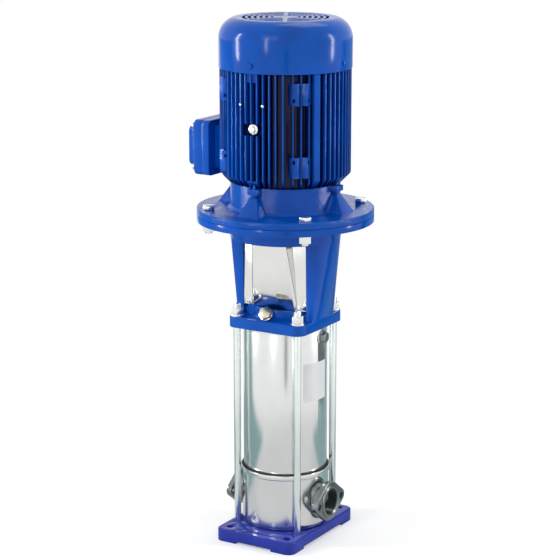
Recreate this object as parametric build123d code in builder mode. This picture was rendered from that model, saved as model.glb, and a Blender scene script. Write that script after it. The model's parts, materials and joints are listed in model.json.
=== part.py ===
"""Vertical multistage pump: a flange-mounted electric motor on a lantern bracket drives five
impellers inside a stainless sleeve that stands on a cast base plate.

Millimetres. +Z is up, the origin is on the shaft axis at the underside of the base plate,
+X points out of the discharge port and -Y faces the front window of the lantern bracket.
"""
import os
from math import cos, radians, sin, sqrt

from build123d import *

# ------------------------------------------------------------------ fits and clearances
fit_gap = 0.05          # radial play of a seated part in its own body
running_gap = 0.06      # radial play of the shaft sleeves in their bushes
seal_gap = 0.4          # gap that rotating rings keep from fixed ones
seat_gap = 0.3          # gap between a curved sheet and what carries it

# ------------------------------------------------------------------ pump casing
casing_radius = 75.0            # most of the pump's plan sizes follow it
casing_wall = 2.4
casing_height = 101.0
casing_bottom_fillet = 13.0
casing_lip_step = 2.6
casing_lip_wall = 1.4
casing_lip_radius = casing_radius + casing_lip_step
casing_lip_height = 7.0
suction_cup_wall = 2.0
suction_duct_wall = 3.6
suction_cup_height = 76.0
suction_eye_radius = 26.0

# ------------------------------------------------------------------ base plate
base_overhang = 2.0     # beyond the casing on each long side
base_width = 2 * (casing_radius + base_overhang)
base_length = 216.0     # along Y
base_height = 22.0
base_corner_radius = 14.0
base_edge_fillet = 3.0
base_foot_step = 4.0    # corner feet stand this far below the plate
base_foot_side = 42.0
base_bolt_inset_x = 20.0
base_bolt_inset_y = 18.0
base_bolt_pitch_x = base_width - 2 * base_bolt_inset_x
base_bolt_pitch_y = base_length - 2 * base_bolt_inset_y
base_bolt_hole_radius = 6.5
base_rim_thickness = 9.0

# ------------------------------------------------------------------ tie rods
rod_inset = 15.0        # rod axes inside the casing's width, at the corners of a square
rod_pitch = 2 * (casing_radius - rod_inset)
rod_chamfer = 1.2
rod_radius = 6.0
rod_base_depth = 14.0   # how deep each rod is screwed into the base plate
rod_end_above_nut = 9.0
nut_across_flats = 19.0
nut_height = 10.8
washer_radius = 12.0
washer_thickness = 2.5

# ------------------------------------------------------------------ ports
port_height = 68.0      # port axis above the underside of the base plate
port_reach = 19.0       # port face beyond the casing
port_face = casing_radius + port_reach
port_thread_radius = 22.4
port_thread_length = 24.0
port_hub_radius = 28.0
port_ring_radius = 29.5
port_ring_height = 2.5
port_flange_thickness = 10.0
port_flange_radius = 34.0
port_bolt_pitch = 75.0
port_bolt_hole_radius = 5.5
port_lobe_radius = 11.5
port_mouth_chamfer = 1.5
port_edge_chamfer = 1.0

# ------------------------------------------------------------------ outer sleeve
sleeve_radius = casing_radius - casing_wall - seat_gap
sleeve_wall = 1.5
sleeve_socket_depth = 11.0
oring_radius = 1.8
oring_side_gap = 0.2

# ------------------------------------------------------------------ stages
stage_count = 5
stage_pitch = 46.0
annulus_width = 6.8             # the water's way back up, between the bowls and the sleeve
bowl_radius = sleeve_radius - sleeve_wall - annulus_width
bowl_wall = 2.0
suction_cup_inset = 4.0         # the suction cup is this much narrower than the bowls
suction_cup_radius = bowl_radius - suction_cup_inset
bowl_floor = 2.5
bowl_deck_height = 20.0         # diffuser deck above the bowl's underside
bowl_deck_thickness = 2.0
bowl_deck_radius = 55.0
bowl_hub_radius = 17.0
bowl_hub_height = 10.0
bowl_vane_count = 7
bowl_vane_thickness = 2.0
impeller_radius = 50.0
impeller_neck_radius = 24.5
impeller_eye_radius = 22.0
impeller_shroud = 1.5
impeller_passage = 8.0          # width between the shrouds
impeller_shroud_height = 5.5    # front shroud above the bowl's underside
impeller_hub_radius = 12.0
impeller_vane_count = 6
impeller_vane_thickness = 1.8
shaft_sleeve_radius = 11.0
bush_radius = 15.0

# ------------------------------------------------------------------ pump shaft and its seal
shaft_radius = 8.0
shaft_tail = 16.0               # shaft below the first impeller
shaft_nut_across_flats = 22.0
shaft_nut_height = 9.0
seal_seat_radius = 17.0
seal_seat_height = 8.0
seal_ring_radius = 14.5
seal_ring_height = 9.0
seal_bellows_height = 20.0

# ------------------------------------------------------------------ pump head
head_height = 47.0
head_cap_thickness = 4.0
head_cap_overhang = 1.2         # beyond the sleeve
head_cap_radius = sleeve_radius + head_cap_overhang
head_plate_bottom = 15.0        # underside of the head plate above the last bowl
head_foot_count = 6
head_foot_depth = 8.0           # along the radius
head_foot_width = 14.0
head_boss_depth = 14.0
head_bore_radius = 21.0
head_plug_drop = 15.0           # plug axis below the top of the head
head_oring_rise = 3.6           # O-ring above the underside of the head plate
plug_across_flats = 17.0
plug_head_height = 8.0
plug_collar_radius = 10.0
plug_collar_height = 1.8
plug_thread_radius = 8.2
plug_thread_length = 9.0
drain_plug_height = 46.0

# ------------------------------------------------------------------ lantern bracket
lantern_rod_margin = 14.0       # rod axes to the sides of the foot
lantern_side = rod_pitch + 2 * lantern_rod_margin
lantern_corner_radius = 18.0
lantern_foot_thickness = 18.0
lantern_sill_height = 15.0
lantern_sill_radius = 55.0
lantern_sill_flare = 5.0
lantern_foot_fillet = 2.5
lantern_root = 4.0              # how deep legs, sill and lugs run into the foot
lantern_bore_radius = 44.0
lantern_window_height = 120.0
lantern_ring_radius = 94.0
lantern_ring_bore = 80.0
lantern_ring_height = 28.0
lantern_leg_bottom_radius = 82.0
lantern_leg_inner = 62.0        # inner edges of the legs, from the middle
lantern_leg_wall = 9.0
lantern_leg_top_width = 76.0
lantern_leg_bottom_width = 70.0
lantern_flange_thickness = 11.0
guard_lug_width = 10.0
guard_lug_depth = 8.0
guard_lug_height = 24.0         # above the lantern foot

# ------------------------------------------------------------------ coupling guards
guard_plane = 35.0              # face of the flat wings, from the shaft axis
guard_thickness = 1.2
guard_rise = 16.0               # lower edge above the lantern foot
guard_tuck = 4.0                # up inside the lantern ring
guard_hood_bottom = 37.0        # face of the hood at its lower edge, from the shaft axis
guard_hood_top = 60.0
guard_hood_bottom_width = 90.0
guard_hood_top_width = 66.0
guard_hood_radius = 5.0
guard_side_gap = 0.4
guard_screw_offset = 48.5
guard_screw_rise = 4.5
guard_screw_radius = 2.0
guard_screw_head_radius = 3.4
guard_screw_head_height = 2.4
guard_screw_length = 6.0

# ------------------------------------------------------------------ fill plug
fill_plug_tilt = 40.0           # above the horizontal
fill_plug_reach = 61.5          # where its axis leaves its boss, from the shaft axis
fill_plug_rise = 9.6            # and above the lantern foot
fill_plug_across_flats = 21.0
fill_plug_collar_radius = 12.0
fill_plug_thread_radius = 9.8
fill_boss_radius = 12.4
fill_boss_depth = 16.0

# ------------------------------------------------------------------ coupling
coupling_radius = 31.0
coupling_length = 104.0
coupling_rise = 35.0            # lower end above the lantern foot
coupling_split = 1.6
coupling_screw_radius = 3.0
coupling_screw_head_radius = 5.5
coupling_screw_head_height = 8.0
coupling_screw_offset = 24.0
coupling_screw_pitch = 30.0
coupling_screw_seat = 12.0      # under the screw heads, from the split

# ------------------------------------------------------------------ motor flange and drive end shield
flange_radius = 150.0
flange_thickness = 12.0
flange_bolt_inset = 17.5        # bolt axes from the rim
flange_pitch_radius = flange_radius - flange_bolt_inset
flange_hole_radius = 7.25
flange_spigot_radius = 115.0
flange_spigot_height = 4.0
drum_radius = 93.0
drum_height = 45.0
drum_wall = 8.0
rib_foot_radius = 122.0
rib_foot_width = 40.0
rib_top_radius = 103.0
rib_top_width = 14.0
rib_height = 30.0
flange_bolt_radius = 6.0
flange_bolt_head_height = 7.5

# ------------------------------------------------------------------ motor frame
frame_length = 190.0
frame_bore = 78.0
frame_barrel = 89.0
fin_radius = 110.0
fin_thickness = 2.2
fin_pitch = 5.625               # degrees
fins_per_side = 9
fin_taper_height = 16.0
fin_taper_depth = 15.0
rail_angle = 61.2               # thin rail, from the X axis
rail_thickness = 3.0
wide_rail_angle = 31.0
wide_rail_thickness = 10.5
pad_fin_spread = 7.5            # fins inside a foot pad field, either side of the diagonal
pad_offset = 65.0
pad_width = 16.0
pad_face = 84.0
pad_upper_drop = 14.0           # top of the upper pads below the frame's top
pad_upper_height = 36.0
pad_lower_rise = 21.0
pad_lower_height = 34.0
pad_hole_radius = 3.6
pad_hole_depth = 12.0
pad_hole_inset = 8.0            # hole axis from the inner end of each pad
earth_rise = 99.0               # earth screw above the frame's lower end
earth_clear_width = 40.0
earth_clear_height = 20.0
earth_boss_radius = 9.0
earth_boss_face = 101.0
earth_washer_radius = 8.5
earth_washer_height = 1.5
earth_head_across_flats = 10.0
earth_head_height = 4.5
earth_screw_radius = 3.0
earth_screw_length = 10.0
lug_width = 20.0
lug_height = 14.0
lug_face = 106.0
shield_screw_circle = 98.6
shield_screw_radius = 2.5
shield_screw_head_radius = 4.5
shield_screw_head_height = 5.0
shield_screw_length = 20.0
shield_lug_height = 9.0

# ------------------------------------------------------------------ motor inside
stator_length = 120.0
stator_bore = 48.0
stator_rise = 31.0              # above the frame's lower end
stator_slot_count = 24
stator_slot_depth = 16.0
stator_slot_width = 5.0
stator_tooth_tip = 1.0
winding_outer = 73.0
winding_inner = 52.0
winding_height = 20.0
air_gap = 0.6
end_ring_height = 9.0
end_ring_inset = 12.0      # between the rotor's seat and its end rings
end_ring_step = 2.0             # below the rotor's surface
motor_shaft_radius = 19.0
motor_shaft_reach = 80.0        # below the flange face
rotor_seat_radius = 22.0
drive_bearing_bore = 20.0
drive_bearing_radius = 40.0
drive_bearing_width = 18.0
drive_bearing_rise = 10.0       # above the flange's upper face
rear_bearing_bore = 15.0
rear_bearing_radius = 32.0
rear_bearing_width = 16.0
bearing_ring = 6.0
bearing_ball_gap = 0.1
bearing_ball_count = 9
fan_seat_radius = 12.0

# ------------------------------------------------------------------ rear shield, fan and fan cover
rear_shield_thickness = 8.0
rear_shield_height = 24.0
rear_lug_gap = 1.2              # between the lugs and the cover
rear_lug_width = 18.0
rear_lug_height = 22.0
fan_rise = 6.0                  # above the rear shield
fan_hub_radius = 20.0
fan_disc_radius = 60.0
fan_disc_thickness = 3.0
fan_radius = 88.0
fan_height = 30.0
fan_blade_count = 7
fan_blade_thickness = 2.5
cover_step = 1.5                # beyond the fins
cover_radius = fin_radius + cover_step
cover_wall = 1.8
rear_lug_radius = cover_radius - cover_wall - rear_lug_gap
cover_height = 82.0
cover_gap = 1.0                 # above the top of the fins
cover_crown_radius = 87.0
cover_crown_height = 33.0       # height of the rounded shoulder
grille_inner = 20.0
grille_slot = 5.0
grille_pitch = 9.5
grille_rings = 6
grille_spokes = 6
grille_spoke_width = 7.0
cover_screw_rise = 12.0
cover_screw_radius = 2.5
cover_screw_head_radius = 4.6
cover_screw_head_height = 2.4
cover_screw_length = 12.0

# ------------------------------------------------------------------ terminal box
box_width = 120.0
box_height = 94.0
box_rise = 51.0                 # box centre above the frame's lower end
box_gap = 5.0                   # between the fins and the back of the box
box_back = fin_radius + box_gap
box_depth = 14.0
box_wall = 4.0
box_corner_radius = 9.0
neck_width = 80.0
neck_height = 76.0
neck_wall = 12.0
neck_corner_radius = 8.0
lid_depth = 22.0
lid_chamfer = 7.0
lid_panel_depth = 13.0
lid_panel_inset = 13.0
lid_panel_corner = 10.0
lid_wall = 4.0
lid_screw_inset = 12.0
lid_screw_length = 30.0
lid_post_radius = 6.0
lid_screw_radius = 2.5
lid_screw_head_radius = 4.5
lid_screw_head_height = 3.0
board_width = 50.0
board_height = 34.0
board_thickness = 5.0
board_stud_radius = 2.5
board_stud_height = 9.0
cable_plug_radius = 8.0
cable_plug_across_flats = 20.0
cable_plug_spacing = 36.0
cable_plug_head = 5.0
cable_plug_depth = 10.0
cable_plug_inset = 12.0         # plug axis from the back of the box
cable_clear_width = 66.0        # fins are cut away under the neck for the cable entries
cable_clear_height = 14.0

# ------------------------------------------------------------------ levels along the shaft
base_top = base_height
casing_top = base_top + casing_height
sleeve_bottom = casing_top - sleeve_socket_depth
stack_bottom = base_top + suction_cup_height
stack_top = stack_bottom + stage_count * stage_pitch
head_top = stack_top + head_height
sleeve_top = head_top - head_cap_thickness
lantern_bottom = head_top
foot_top = lantern_bottom + lantern_foot_thickness
sill_top = foot_top + lantern_sill_height
ring_bottom = sill_top + lantern_window_height
ring_top = ring_bottom + lantern_ring_height
flange_face = ring_top + lantern_flange_thickness
flange_top = flange_face + flange_thickness
frame_bottom = flange_top + drum_height
frame_top = frame_bottom + frame_length
cover_bottom = frame_top + cover_gap
cover_top = cover_bottom + cover_height
coupling_bottom = foot_top + coupling_rise
coupling_top = coupling_bottom + coupling_length
motor_shaft_bottom = flange_face - motor_shaft_reach
drive_bearing_bottom = flange_top + drive_bearing_rise
rear_bearing_bottom = frame_top + rear_shield_height - rear_bearing_width - 4.0
stator_bottom = frame_bottom + stator_rise
stator_top = stator_bottom + stator_length
box_centre = frame_bottom + box_rise
shaft_bottom = stack_bottom + impeller_shroud_height - shaft_tail
shaft_top = motor_shaft_bottom - 2.0
fan_bottom = frame_top + rear_shield_height + fan_rise
seal_seat_bottom = head_top - 6.0 - seal_seat_height
seal_ring_bottom = seal_seat_bottom - seal_gap - seal_ring_height

corner_angles = [45, 135, 225, 315]
side_angles = [0, 90, 180, 270]


def save(part, name):
    """Labels a finished piece and writes it as its own STEP file."""
    part.label = name
    export_step(part, f"parts/{name}.step")


def rod_places(height):
    """The four tie rod centres at one height."""
    half = rod_pitch / 2
    return [(x, y, height) for x in (-half, half) for y in (-half, half)]


def polar(radius, angle, height=0.0):
    """A point at a radius and an angle in degrees from +X."""
    return (radius * cos(radians(angle)), radius * sin(radians(angle)), height)


def tube(outer, inner, bottom, height):
    """A plain ring around the shaft axis."""
    with BuildPart() as ring:
        with BuildSketch(Plane.XY.offset(bottom)):
            Circle(outer)
            Circle(inner, mode=Mode.SUBTRACT)
        extrude(amount=height)
    return ring.part


os.makedirs("parts", exist_ok=True)

# ================================================================== base plate and tie rods
with BuildPart() as base_plate:
    with BuildSketch(Plane.XY.offset(base_foot_step)):
        RectangleRounded(base_width, base_length, base_corner_radius)
    extrude(amount=base_height - base_foot_step)
    fillet(base_plate.faces().sort_by(Axis.Z)[-1].edges(), base_edge_fillet)
    with BuildSketch(Plane.XY):
        RectangleRounded(base_width, base_length, base_corner_radius)
        Rectangle(base_width - 2 * base_foot_side, base_length, mode=Mode.SUBTRACT)
        Rectangle(base_width, base_length - 2 * base_foot_side, mode=Mode.SUBTRACT)
    extrude(amount=base_foot_step)
    with BuildSketch(Plane.XY):
        inner_width = base_width - 2 * base_foot_side
        inner_length = base_length - 2 * base_rim_thickness
        RectangleRounded(inner_width, inner_length, base_corner_radius / 2)
    extrude(amount=base_height - base_rim_thickness, mode=Mode.SUBTRACT)
    with Locations((0, 0, base_height)):
        with GridLocations(base_bolt_pitch_x, base_bolt_pitch_y, 2, 2):
            Hole(base_bolt_hole_radius)
    with Locations(*rod_places(base_top)):
        Hole(rod_radius + fit_gap, depth=rod_base_depth)
save(base_plate.part, "base_plate")

with BuildPart() as tie_rods:
    rod_bottom = base_top - rod_base_depth
    rod_top = foot_top + washer_thickness + nut_height + rod_end_above_nut
    with BuildSketch(Plane.XY.offset(rod_bottom)):
        with GridLocations(rod_pitch, rod_pitch, 2, 2):
            Circle(rod_radius)
    extrude(amount=rod_top - rod_bottom)
    chamfer(tie_rods.faces().group_by(Axis.Z)[-1].edges(), rod_chamfer)
save(tie_rods.part, "tie_rods")

with BuildPart() as tie_rod_washers:
    with BuildSketch(Plane.XY.offset(foot_top)):
        with GridLocations(rod_pitch, rod_pitch, 2, 2):
            Circle(washer_radius)
            Circle(rod_radius + seat_gap, mode=Mode.SUBTRACT)
    extrude(amount=washer_thickness)
save(tie_rod_washers.part, "tie_rod_washers")

with BuildPart() as tie_rod_nuts:
    with BuildSketch(Plane.XY.offset(foot_top + washer_thickness)):
        with GridLocations(rod_pitch, rod_pitch, 2, 2):
            RegularPolygon(nut_across_flats / 2, 6, major_radius=False)
            Circle(rod_radius + fit_gap, mode=Mode.SUBTRACT)
    extrude(amount=nut_height)
save(tie_rod_nuts.part, "tie_rod_nuts")

# ================================================================== pump casing and ports
port_hub_end = port_face - port_thread_length

with BuildPart() as lower_casing:
    with BuildSketch(Plane.XZ):
        with BuildLine():
            inner = casing_radius - casing_wall
            lip_inner = casing_lip_radius - casing_lip_wall
            socket = casing_top - casing_lip_height
            Polyline((0, base_top), (casing_radius, base_top), (casing_radius, socket - 2),
                     (casing_lip_radius, socket), (casing_lip_radius, casing_top),
                     (lip_inner, casing_top), (lip_inner, socket + 1), (inner, socket - 1),
                     (inner, sleeve_bottom),
                     (sleeve_radius - sleeve_wall, sleeve_bottom),
                     (sleeve_radius - sleeve_wall, sleeve_bottom - 3), (inner, sleeve_bottom - 5),
                     (inner, base_top + casing_wall), (0, base_top + casing_wall), (0, base_top))
        make_face()
    revolve(axis=Axis.Z)
    outer_corner = lower_casing.edges().filter_by(GeomType.CIRCLE).group_by(Axis.Z)[0]
    fillet(outer_corner.sort_by(SortBy.RADIUS)[-1:], casing_bottom_fillet - casing_wall)
    # the cup that keeps the suction side apart from the pressure annulus
    with BuildSketch(Plane.XZ):
        with BuildLine():
            cup_inner = suction_cup_radius - suction_cup_wall
            Polyline((suction_eye_radius, stack_bottom), (suction_cup_radius, stack_bottom),
                     (suction_cup_radius, base_top + casing_wall / 2),
                     (cup_inner, base_top + casing_wall / 2),
                     (cup_inner, stack_bottom - suction_cup_wall),
                     (suction_eye_radius, stack_bottom - suction_cup_wall), close=True)
        make_face()
    revolve(axis=Axis.Z)
    # suction duct from the cup to the port hub
    with BuildSketch(Plane.YZ.offset(-port_hub_end)):
        with Locations((0, port_height)):
            Circle(port_hub_radius)
    extrude(amount=port_hub_end - suction_cup_radius + 8)
    with BuildSketch(Plane.YZ.offset(-port_hub_end)):
        with Locations((0, port_height)):
            Circle(port_hub_radius - suction_duct_wall)
    extrude(amount=port_hub_end - suction_cup_radius + 14, mode=Mode.SUBTRACT)
    # holes in the outer wall for both port hubs
    for side in (-1, 1):
        with BuildSketch(Plane.YZ.offset(side * port_hub_end)):
            with Locations((0, port_height)):
                Circle(port_hub_radius + fit_gap)
        extrude(amount=side * 20, mode=Mode.SUBTRACT)
    with BuildSketch(Plane.YZ.offset(suction_cup_radius + 2)):
        with Locations((0, port_height)):
            Circle(port_hub_radius + fit_gap)
    extrude(amount=port_hub_end - suction_cup_radius, mode=Mode.SUBTRACT)
    # drain boss on the hidden side
    with BuildSketch(Plane.XZ.offset(-casing_radius + casing_wall / 2)):
        with Locations((0, drain_plug_height)):
            Circle(plug_collar_radius + 1)
    extrude(amount=-4.0)
    with BuildSketch(Plane.XZ.offset(-suction_cup_radius - 4)):
        with Locations((0, drain_plug_height)):
            Circle(plug_thread_radius + fit_gap)
    extrude(amount=-40.0, mode=Mode.SUBTRACT)
save(lower_casing.part, "lower_casing")
drain_seat = casing_radius - casing_wall / 2 + 4.0


def port_flange(side):
    """Threaded hub with a two-bolt oval flange, on the +X (side 1) or -X (side -1) port."""
    ring_face = Plane(origin=(side * port_face, 0, port_height), x_dir=(0, 1, 0), z_dir=(side, 0, 0))
    with BuildPart() as flange:
        with BuildSketch(ring_face.offset(-port_ring_height)):
            with BuildLine():
                CenterArc((0, 0), port_flange_radius, 0, 360)
                CenterArc((port_bolt_pitch / 2, 0), port_lobe_radius, 0, 360)
                CenterArc((-port_bolt_pitch / 2, 0), port_lobe_radius, 0, 360)
            make_hull()
        extrude(amount=-port_flange_thickness)
        chamfer(flange.faces().sort_by(Axis((0, 0, 0), (side, 0, 0)))[-1].edges(), port_edge_chamfer)
        with BuildSketch(ring_face):
            Circle(port_ring_radius)
        extrude(amount=-port_ring_height - 1)
        with BuildSketch(ring_face.offset(-port_flange_thickness)):
            Circle(port_hub_radius)
        extrude(amount=-port_thread_length + port_flange_thickness)
        with BuildSketch(ring_face):
            Circle(port_thread_radius)
        extrude(amount=-port_thread_length, mode=Mode.SUBTRACT)
        mouth = flange.faces().sort_by(Axis((0, 0, 0), (side, 0, 0)))[-1].edges().sort_by(SortBy.RADIUS)
        chamfer(mouth[0], port_mouth_chamfer)
        chamfer(mouth[-1], port_edge_chamfer)
        with BuildSketch(ring_face):
            with GridLocations(port_bolt_pitch, 1, 2, 1):
                Circle(port_bolt_hole_radius)
        extrude(amount=-port_thread_length, mode=Mode.SUBTRACT)
    return flange.part


save(port_flange(-1), "suction_flange")
save(port_flange(1), "discharge_flange")


def screw_plug(seat, across_flats, collar_radius, thread_radius):
    """A hexagon-headed plug whose collar sits on a plane, with its thread on the far side."""
    with BuildPart() as plug:
        with BuildSketch(seat):
            Circle(collar_radius)
        extrude(amount=plug_collar_height)
        with BuildSketch(seat.offset(plug_collar_height)):
            RegularPolygon(across_flats / 2, 6, major_radius=False)
        extrude(amount=plug_head_height - plug_collar_height)
        with BuildSketch(seat):
            Circle(thread_radius)
        extrude(amount=-plug_thread_length)
    return plug.part


# ================================================================== sleeve and pump head
with BuildPart() as outer_sleeve:
    with BuildSketch(Plane.XY.offset(sleeve_bottom)):
        Circle(sleeve_radius)
        Circle(sleeve_radius - sleeve_wall, mode=Mode.SUBTRACT)
    extrude(amount=sleeve_top - sleeve_bottom)
    with BuildSketch(Plane.YZ.offset(sleeve_radius - 12)):
        with Locations((0, head_top - head_plug_drop)):
            Circle(plug_collar_radius + 1.5)
    extrude(amount=20, mode=Mode.SUBTRACT)
save(outer_sleeve.part, "outer_sleeve")

upper_oring_level = stack_top + head_plate_bottom + head_oring_rise
head_rim_radius = sleeve_radius - sleeve_wall - seat_gap
lower_oring_level = casing_top - casing_lip_height / 2 + 1.0
lower_oring_centre = (sleeve_radius + casing_lip_radius - casing_lip_wall) / 2

with BuildPart() as sleeve_seals:
    with BuildSketch(Plane.XZ):
        with Locations((lower_oring_centre, lower_oring_level)):
            Circle(oring_radius)
        with Locations((head_rim_radius - oring_radius + seat_gap / 2, upper_oring_level)):
            Circle(oring_radius)
    revolve(axis=Axis.Z)
save(sleeve_seals.part, "sleeve_seals")

with BuildPart() as pump_head:
    plate_bottom = stack_top + head_plate_bottom
    with BuildSketch(Plane.XZ):
        with BuildLine():
            groove = head_rim_radius - 2 * oring_radius
            oring_half_groove = oring_radius + oring_side_gap
            Polyline((head_bore_radius, plate_bottom), (head_rim_radius, plate_bottom),
                     (head_rim_radius, upper_oring_level - oring_half_groove),
                     (groove, upper_oring_level - oring_half_groove),
                     (groove, upper_oring_level + oring_half_groove),
                     (head_rim_radius, upper_oring_level + oring_half_groove),
                     (head_rim_radius, sleeve_top), (head_cap_radius, sleeve_top),
                     (head_cap_radius, head_top), (shaft_radius + 4, head_top),
                     (shaft_radius + 4, seal_seat_bottom + seal_seat_height),
                     (seal_seat_radius + fit_gap, seal_seat_bottom + seal_seat_height),
                     (seal_seat_radius + fit_gap, seal_seat_bottom),
                     (head_bore_radius, seal_seat_bottom), close=True)
        make_face()
    revolve(axis=Axis.Z)
    with BuildSketch(Plane.XY.offset(stack_top)):
        with PolarLocations(bowl_radius - head_foot_depth / 2, head_foot_count):
            Rectangle(head_foot_depth, head_foot_width)
    extrude(amount=head_plate_bottom)
    head_plug_seat = sqrt(head_rim_radius**2 - (plug_collar_radius + 1) ** 2)
    with BuildSketch(Plane.YZ.offset(head_plug_seat - head_boss_depth)):
        with Locations((0, head_top - head_plug_drop)):
            Circle(plug_collar_radius + 1.2)
    extrude(amount=head_boss_depth + sleeve_radius - head_plug_seat + 1.0)
    with BuildSketch(Plane.YZ.offset(head_plug_seat - head_boss_depth)):
        with Locations((0, head_top - head_plug_drop)):
            Circle(plug_thread_radius + fit_gap)
    extrude(amount=30, mode=Mode.SUBTRACT)
save(pump_head.part, "pump_head")

head_plug_plane = Plane(origin=(sleeve_radius + 1.0, 0, head_top - head_plug_drop), z_dir=(1, 0, 0))
drain_plug_plane = Plane(origin=(0, drain_seat, drain_plug_height), z_dir=(0, 1, 0))
casing_plug_sizes = (plug_across_flats, plug_collar_radius, plug_thread_radius)
casing_plug_solids = [screw_plug(seat, *casing_plug_sizes) for seat in (head_plug_plane, drain_plug_plane)]
save(Compound(children=casing_plug_solids), "casing_plugs")


# ================================================================== stages
def stage_bowl(bottom):
    """One pressed bowl: floor with the inlet eye, wall, diffuser deck, hub and return vanes."""
    wall_inner = bowl_radius - bowl_wall
    deck = bottom + bowl_deck_height
    vane_start = polar(bowl_hub_radius + 8, 0)
    vane_middle = polar((bowl_hub_radius + bowl_radius) / 2 + 4, 22)
    vane_end = polar(wall_inner + bowl_wall / 2, 55)
    with BuildPart() as bowl:
        with BuildSketch(Plane.XY.offset(bottom)):
            Circle(bowl_radius)
            Circle(suction_eye_radius, mode=Mode.SUBTRACT)
        extrude(amount=bowl_floor)
        with BuildSketch(Plane.XY.offset(bottom)):
            Circle(bowl_radius)
            Circle(wall_inner, mode=Mode.SUBTRACT)
        extrude(amount=stage_pitch)
        with BuildSketch(Plane.XY.offset(deck)):
            Circle(bowl_deck_radius)
            Circle(bush_radius + fit_gap, mode=Mode.SUBTRACT)
        extrude(amount=bowl_deck_thickness)
        with BuildSketch(Plane.XY.offset(deck)):
            Circle(bowl_hub_radius)
            Circle(bush_radius + fit_gap, mode=Mode.SUBTRACT)
        extrude(amount=bowl_hub_height)
        with BuildSketch(Plane.XY.offset(deck + bowl_deck_thickness / 2)):
            with PolarLocations(0, bowl_vane_count):
                with BuildLine():
                    ThreePointArc(vane_start, vane_middle, vane_end)
                trace(line_width=bowl_vane_thickness)
        extrude(amount=stage_pitch - bowl_deck_height - bowl_deck_thickness / 2 - 1)
    return bowl.part


def impeller(bottom):
    """One closed impeller for the bowl that starts at this level."""
    front = bottom + impeller_shroud_height
    back = front + impeller_shroud + impeller_passage
    vane_start = polar(impeller_eye_radius - 6, 0)
    vane_middle = polar(impeller_radius * 0.72, 38)
    vane_end = polar(impeller_radius - 0.5, 85)
    with BuildPart() as wheel:
        with BuildSketch(Plane.XZ):
            with BuildLine():
                Polyline((impeller_eye_radius, bottom + 0.6), (impeller_neck_radius, bottom + 0.6),
                         (impeller_neck_radius, front), (impeller_radius, front),
                         (impeller_radius, front + impeller_shroud),
                         (impeller_eye_radius, front + impeller_shroud), close=True)
            make_face()
            with BuildLine():
                Polyline((shaft_radius + fit_gap, front + 3), (impeller_hub_radius, front + 3),
                         (impeller_hub_radius + 1, back), (impeller_radius, back),
                         (impeller_radius, back + impeller_shroud),
                         (impeller_hub_radius, back + impeller_shroud),
                         (impeller_hub_radius, back + 3), (shaft_radius + fit_gap, back + 3), close=True)
            make_face()
        revolve(axis=Axis.Z)
        with BuildSketch(Plane.XY.offset(front + impeller_shroud / 2)):
            with PolarLocations(0, impeller_vane_count):
                with BuildLine():
                    ThreePointArc(vane_start, vane_middle, vane_end)
                trace(line_width=impeller_vane_thickness)
        extrude(amount=impeller_passage + impeller_shroud)
    return wheel.part


stage_levels = [stack_bottom + n * stage_pitch for n in range(stage_count)]
hub_bottom = impeller_shroud_height + 3
hub_top = impeller_shroud_height + impeller_shroud + impeller_passage + 3
for number, level in enumerate(stage_levels, start=1):
    save(stage_bowl(level), f"stage_bowl_{number}")
    save(impeller(level), f"impeller_{number}")

wear_ring_solids = []
for level in stage_levels:
    ring = tube(suction_eye_radius - fit_gap, impeller_neck_radius + seal_gap, level, bowl_floor + 1.5)
    wear_ring_solids.append(ring)
save(Compound(children=wear_ring_solids), "wear_rings")

bush_solids = []
for level in (stage_levels[0], stage_levels[-1]):
    ring = tube(bush_radius, shaft_sleeve_radius + running_gap, level + bowl_deck_height, bowl_hub_height)
    bush_solids.append(ring)
save(Compound(children=bush_solids), "shaft_bushes")

# ================================================================== pump shaft, sleeves and seal
with BuildPart() as pump_shaft:
    with BuildSketch(Plane.XY.offset(shaft_bottom)):
        Circle(shaft_radius)
    extrude(amount=shaft_top - shaft_bottom)
    chamfer(pump_shaft.edges().group_by(Axis.Z)[0] + pump_shaft.edges().group_by(Axis.Z)[-1], 1.0)
save(pump_shaft.part, "pump_shaft")

sleeve_solids = []
for level in stage_levels:
    last = level == stage_levels[-1]
    top = seal_ring_bottom - seal_bellows_height if last else level + stage_pitch + hub_bottom
    ring = tube(shaft_sleeve_radius, shaft_radius + fit_gap, level + hub_top, top - level - hub_top)
    sleeve_solids.append(ring)
save(Compound(children=sleeve_solids), "shaft_sleeves")

with BuildPart() as shaft_nut:
    nut_top = stack_bottom + hub_bottom
    with BuildSketch(Plane.XY.offset(nut_top - shaft_nut_height)):
        RegularPolygon(shaft_nut_across_flats / 2, 6, major_radius=False)
        Circle(shaft_radius + fit_gap, mode=Mode.SUBTRACT)
    extrude(amount=shaft_nut_height)
save(shaft_nut.part, "shaft_nut")

save(tube(seal_seat_radius, shaft_radius + 2, seal_seat_bottom, seal_seat_height), "seal_seat")
save(tube(seal_ring_radius, shaft_radius + fit_gap, seal_ring_bottom, seal_ring_height), "seal_ring")

with BuildPart() as seal_bellows:
    fold_radius = seal_ring_radius
    waist_radius = shaft_radius + 3.5
    bellows_bottom = seal_ring_bottom - seal_bellows_height
    fold_count = 4
    fold = seal_bellows_height / fold_count
    with BuildSketch(Plane.XZ):
        with BuildLine():
            outline = [(shaft_radius + fit_gap, bellows_bottom)]
            for n in range(fold_count):
                outline.append((waist_radius, bellows_bottom + n * fold))
                outline.append((fold_radius, bellows_bottom + (n + 0.5) * fold))
            outline.append((waist_radius, seal_ring_bottom))
            outline.append((shaft_radius + fit_gap, seal_ring_bottom))
            Polyline(*outline, close=True)
        make_face()
    revolve(axis=Axis.Z)
save(seal_bellows.part, "seal_bellows")

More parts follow.
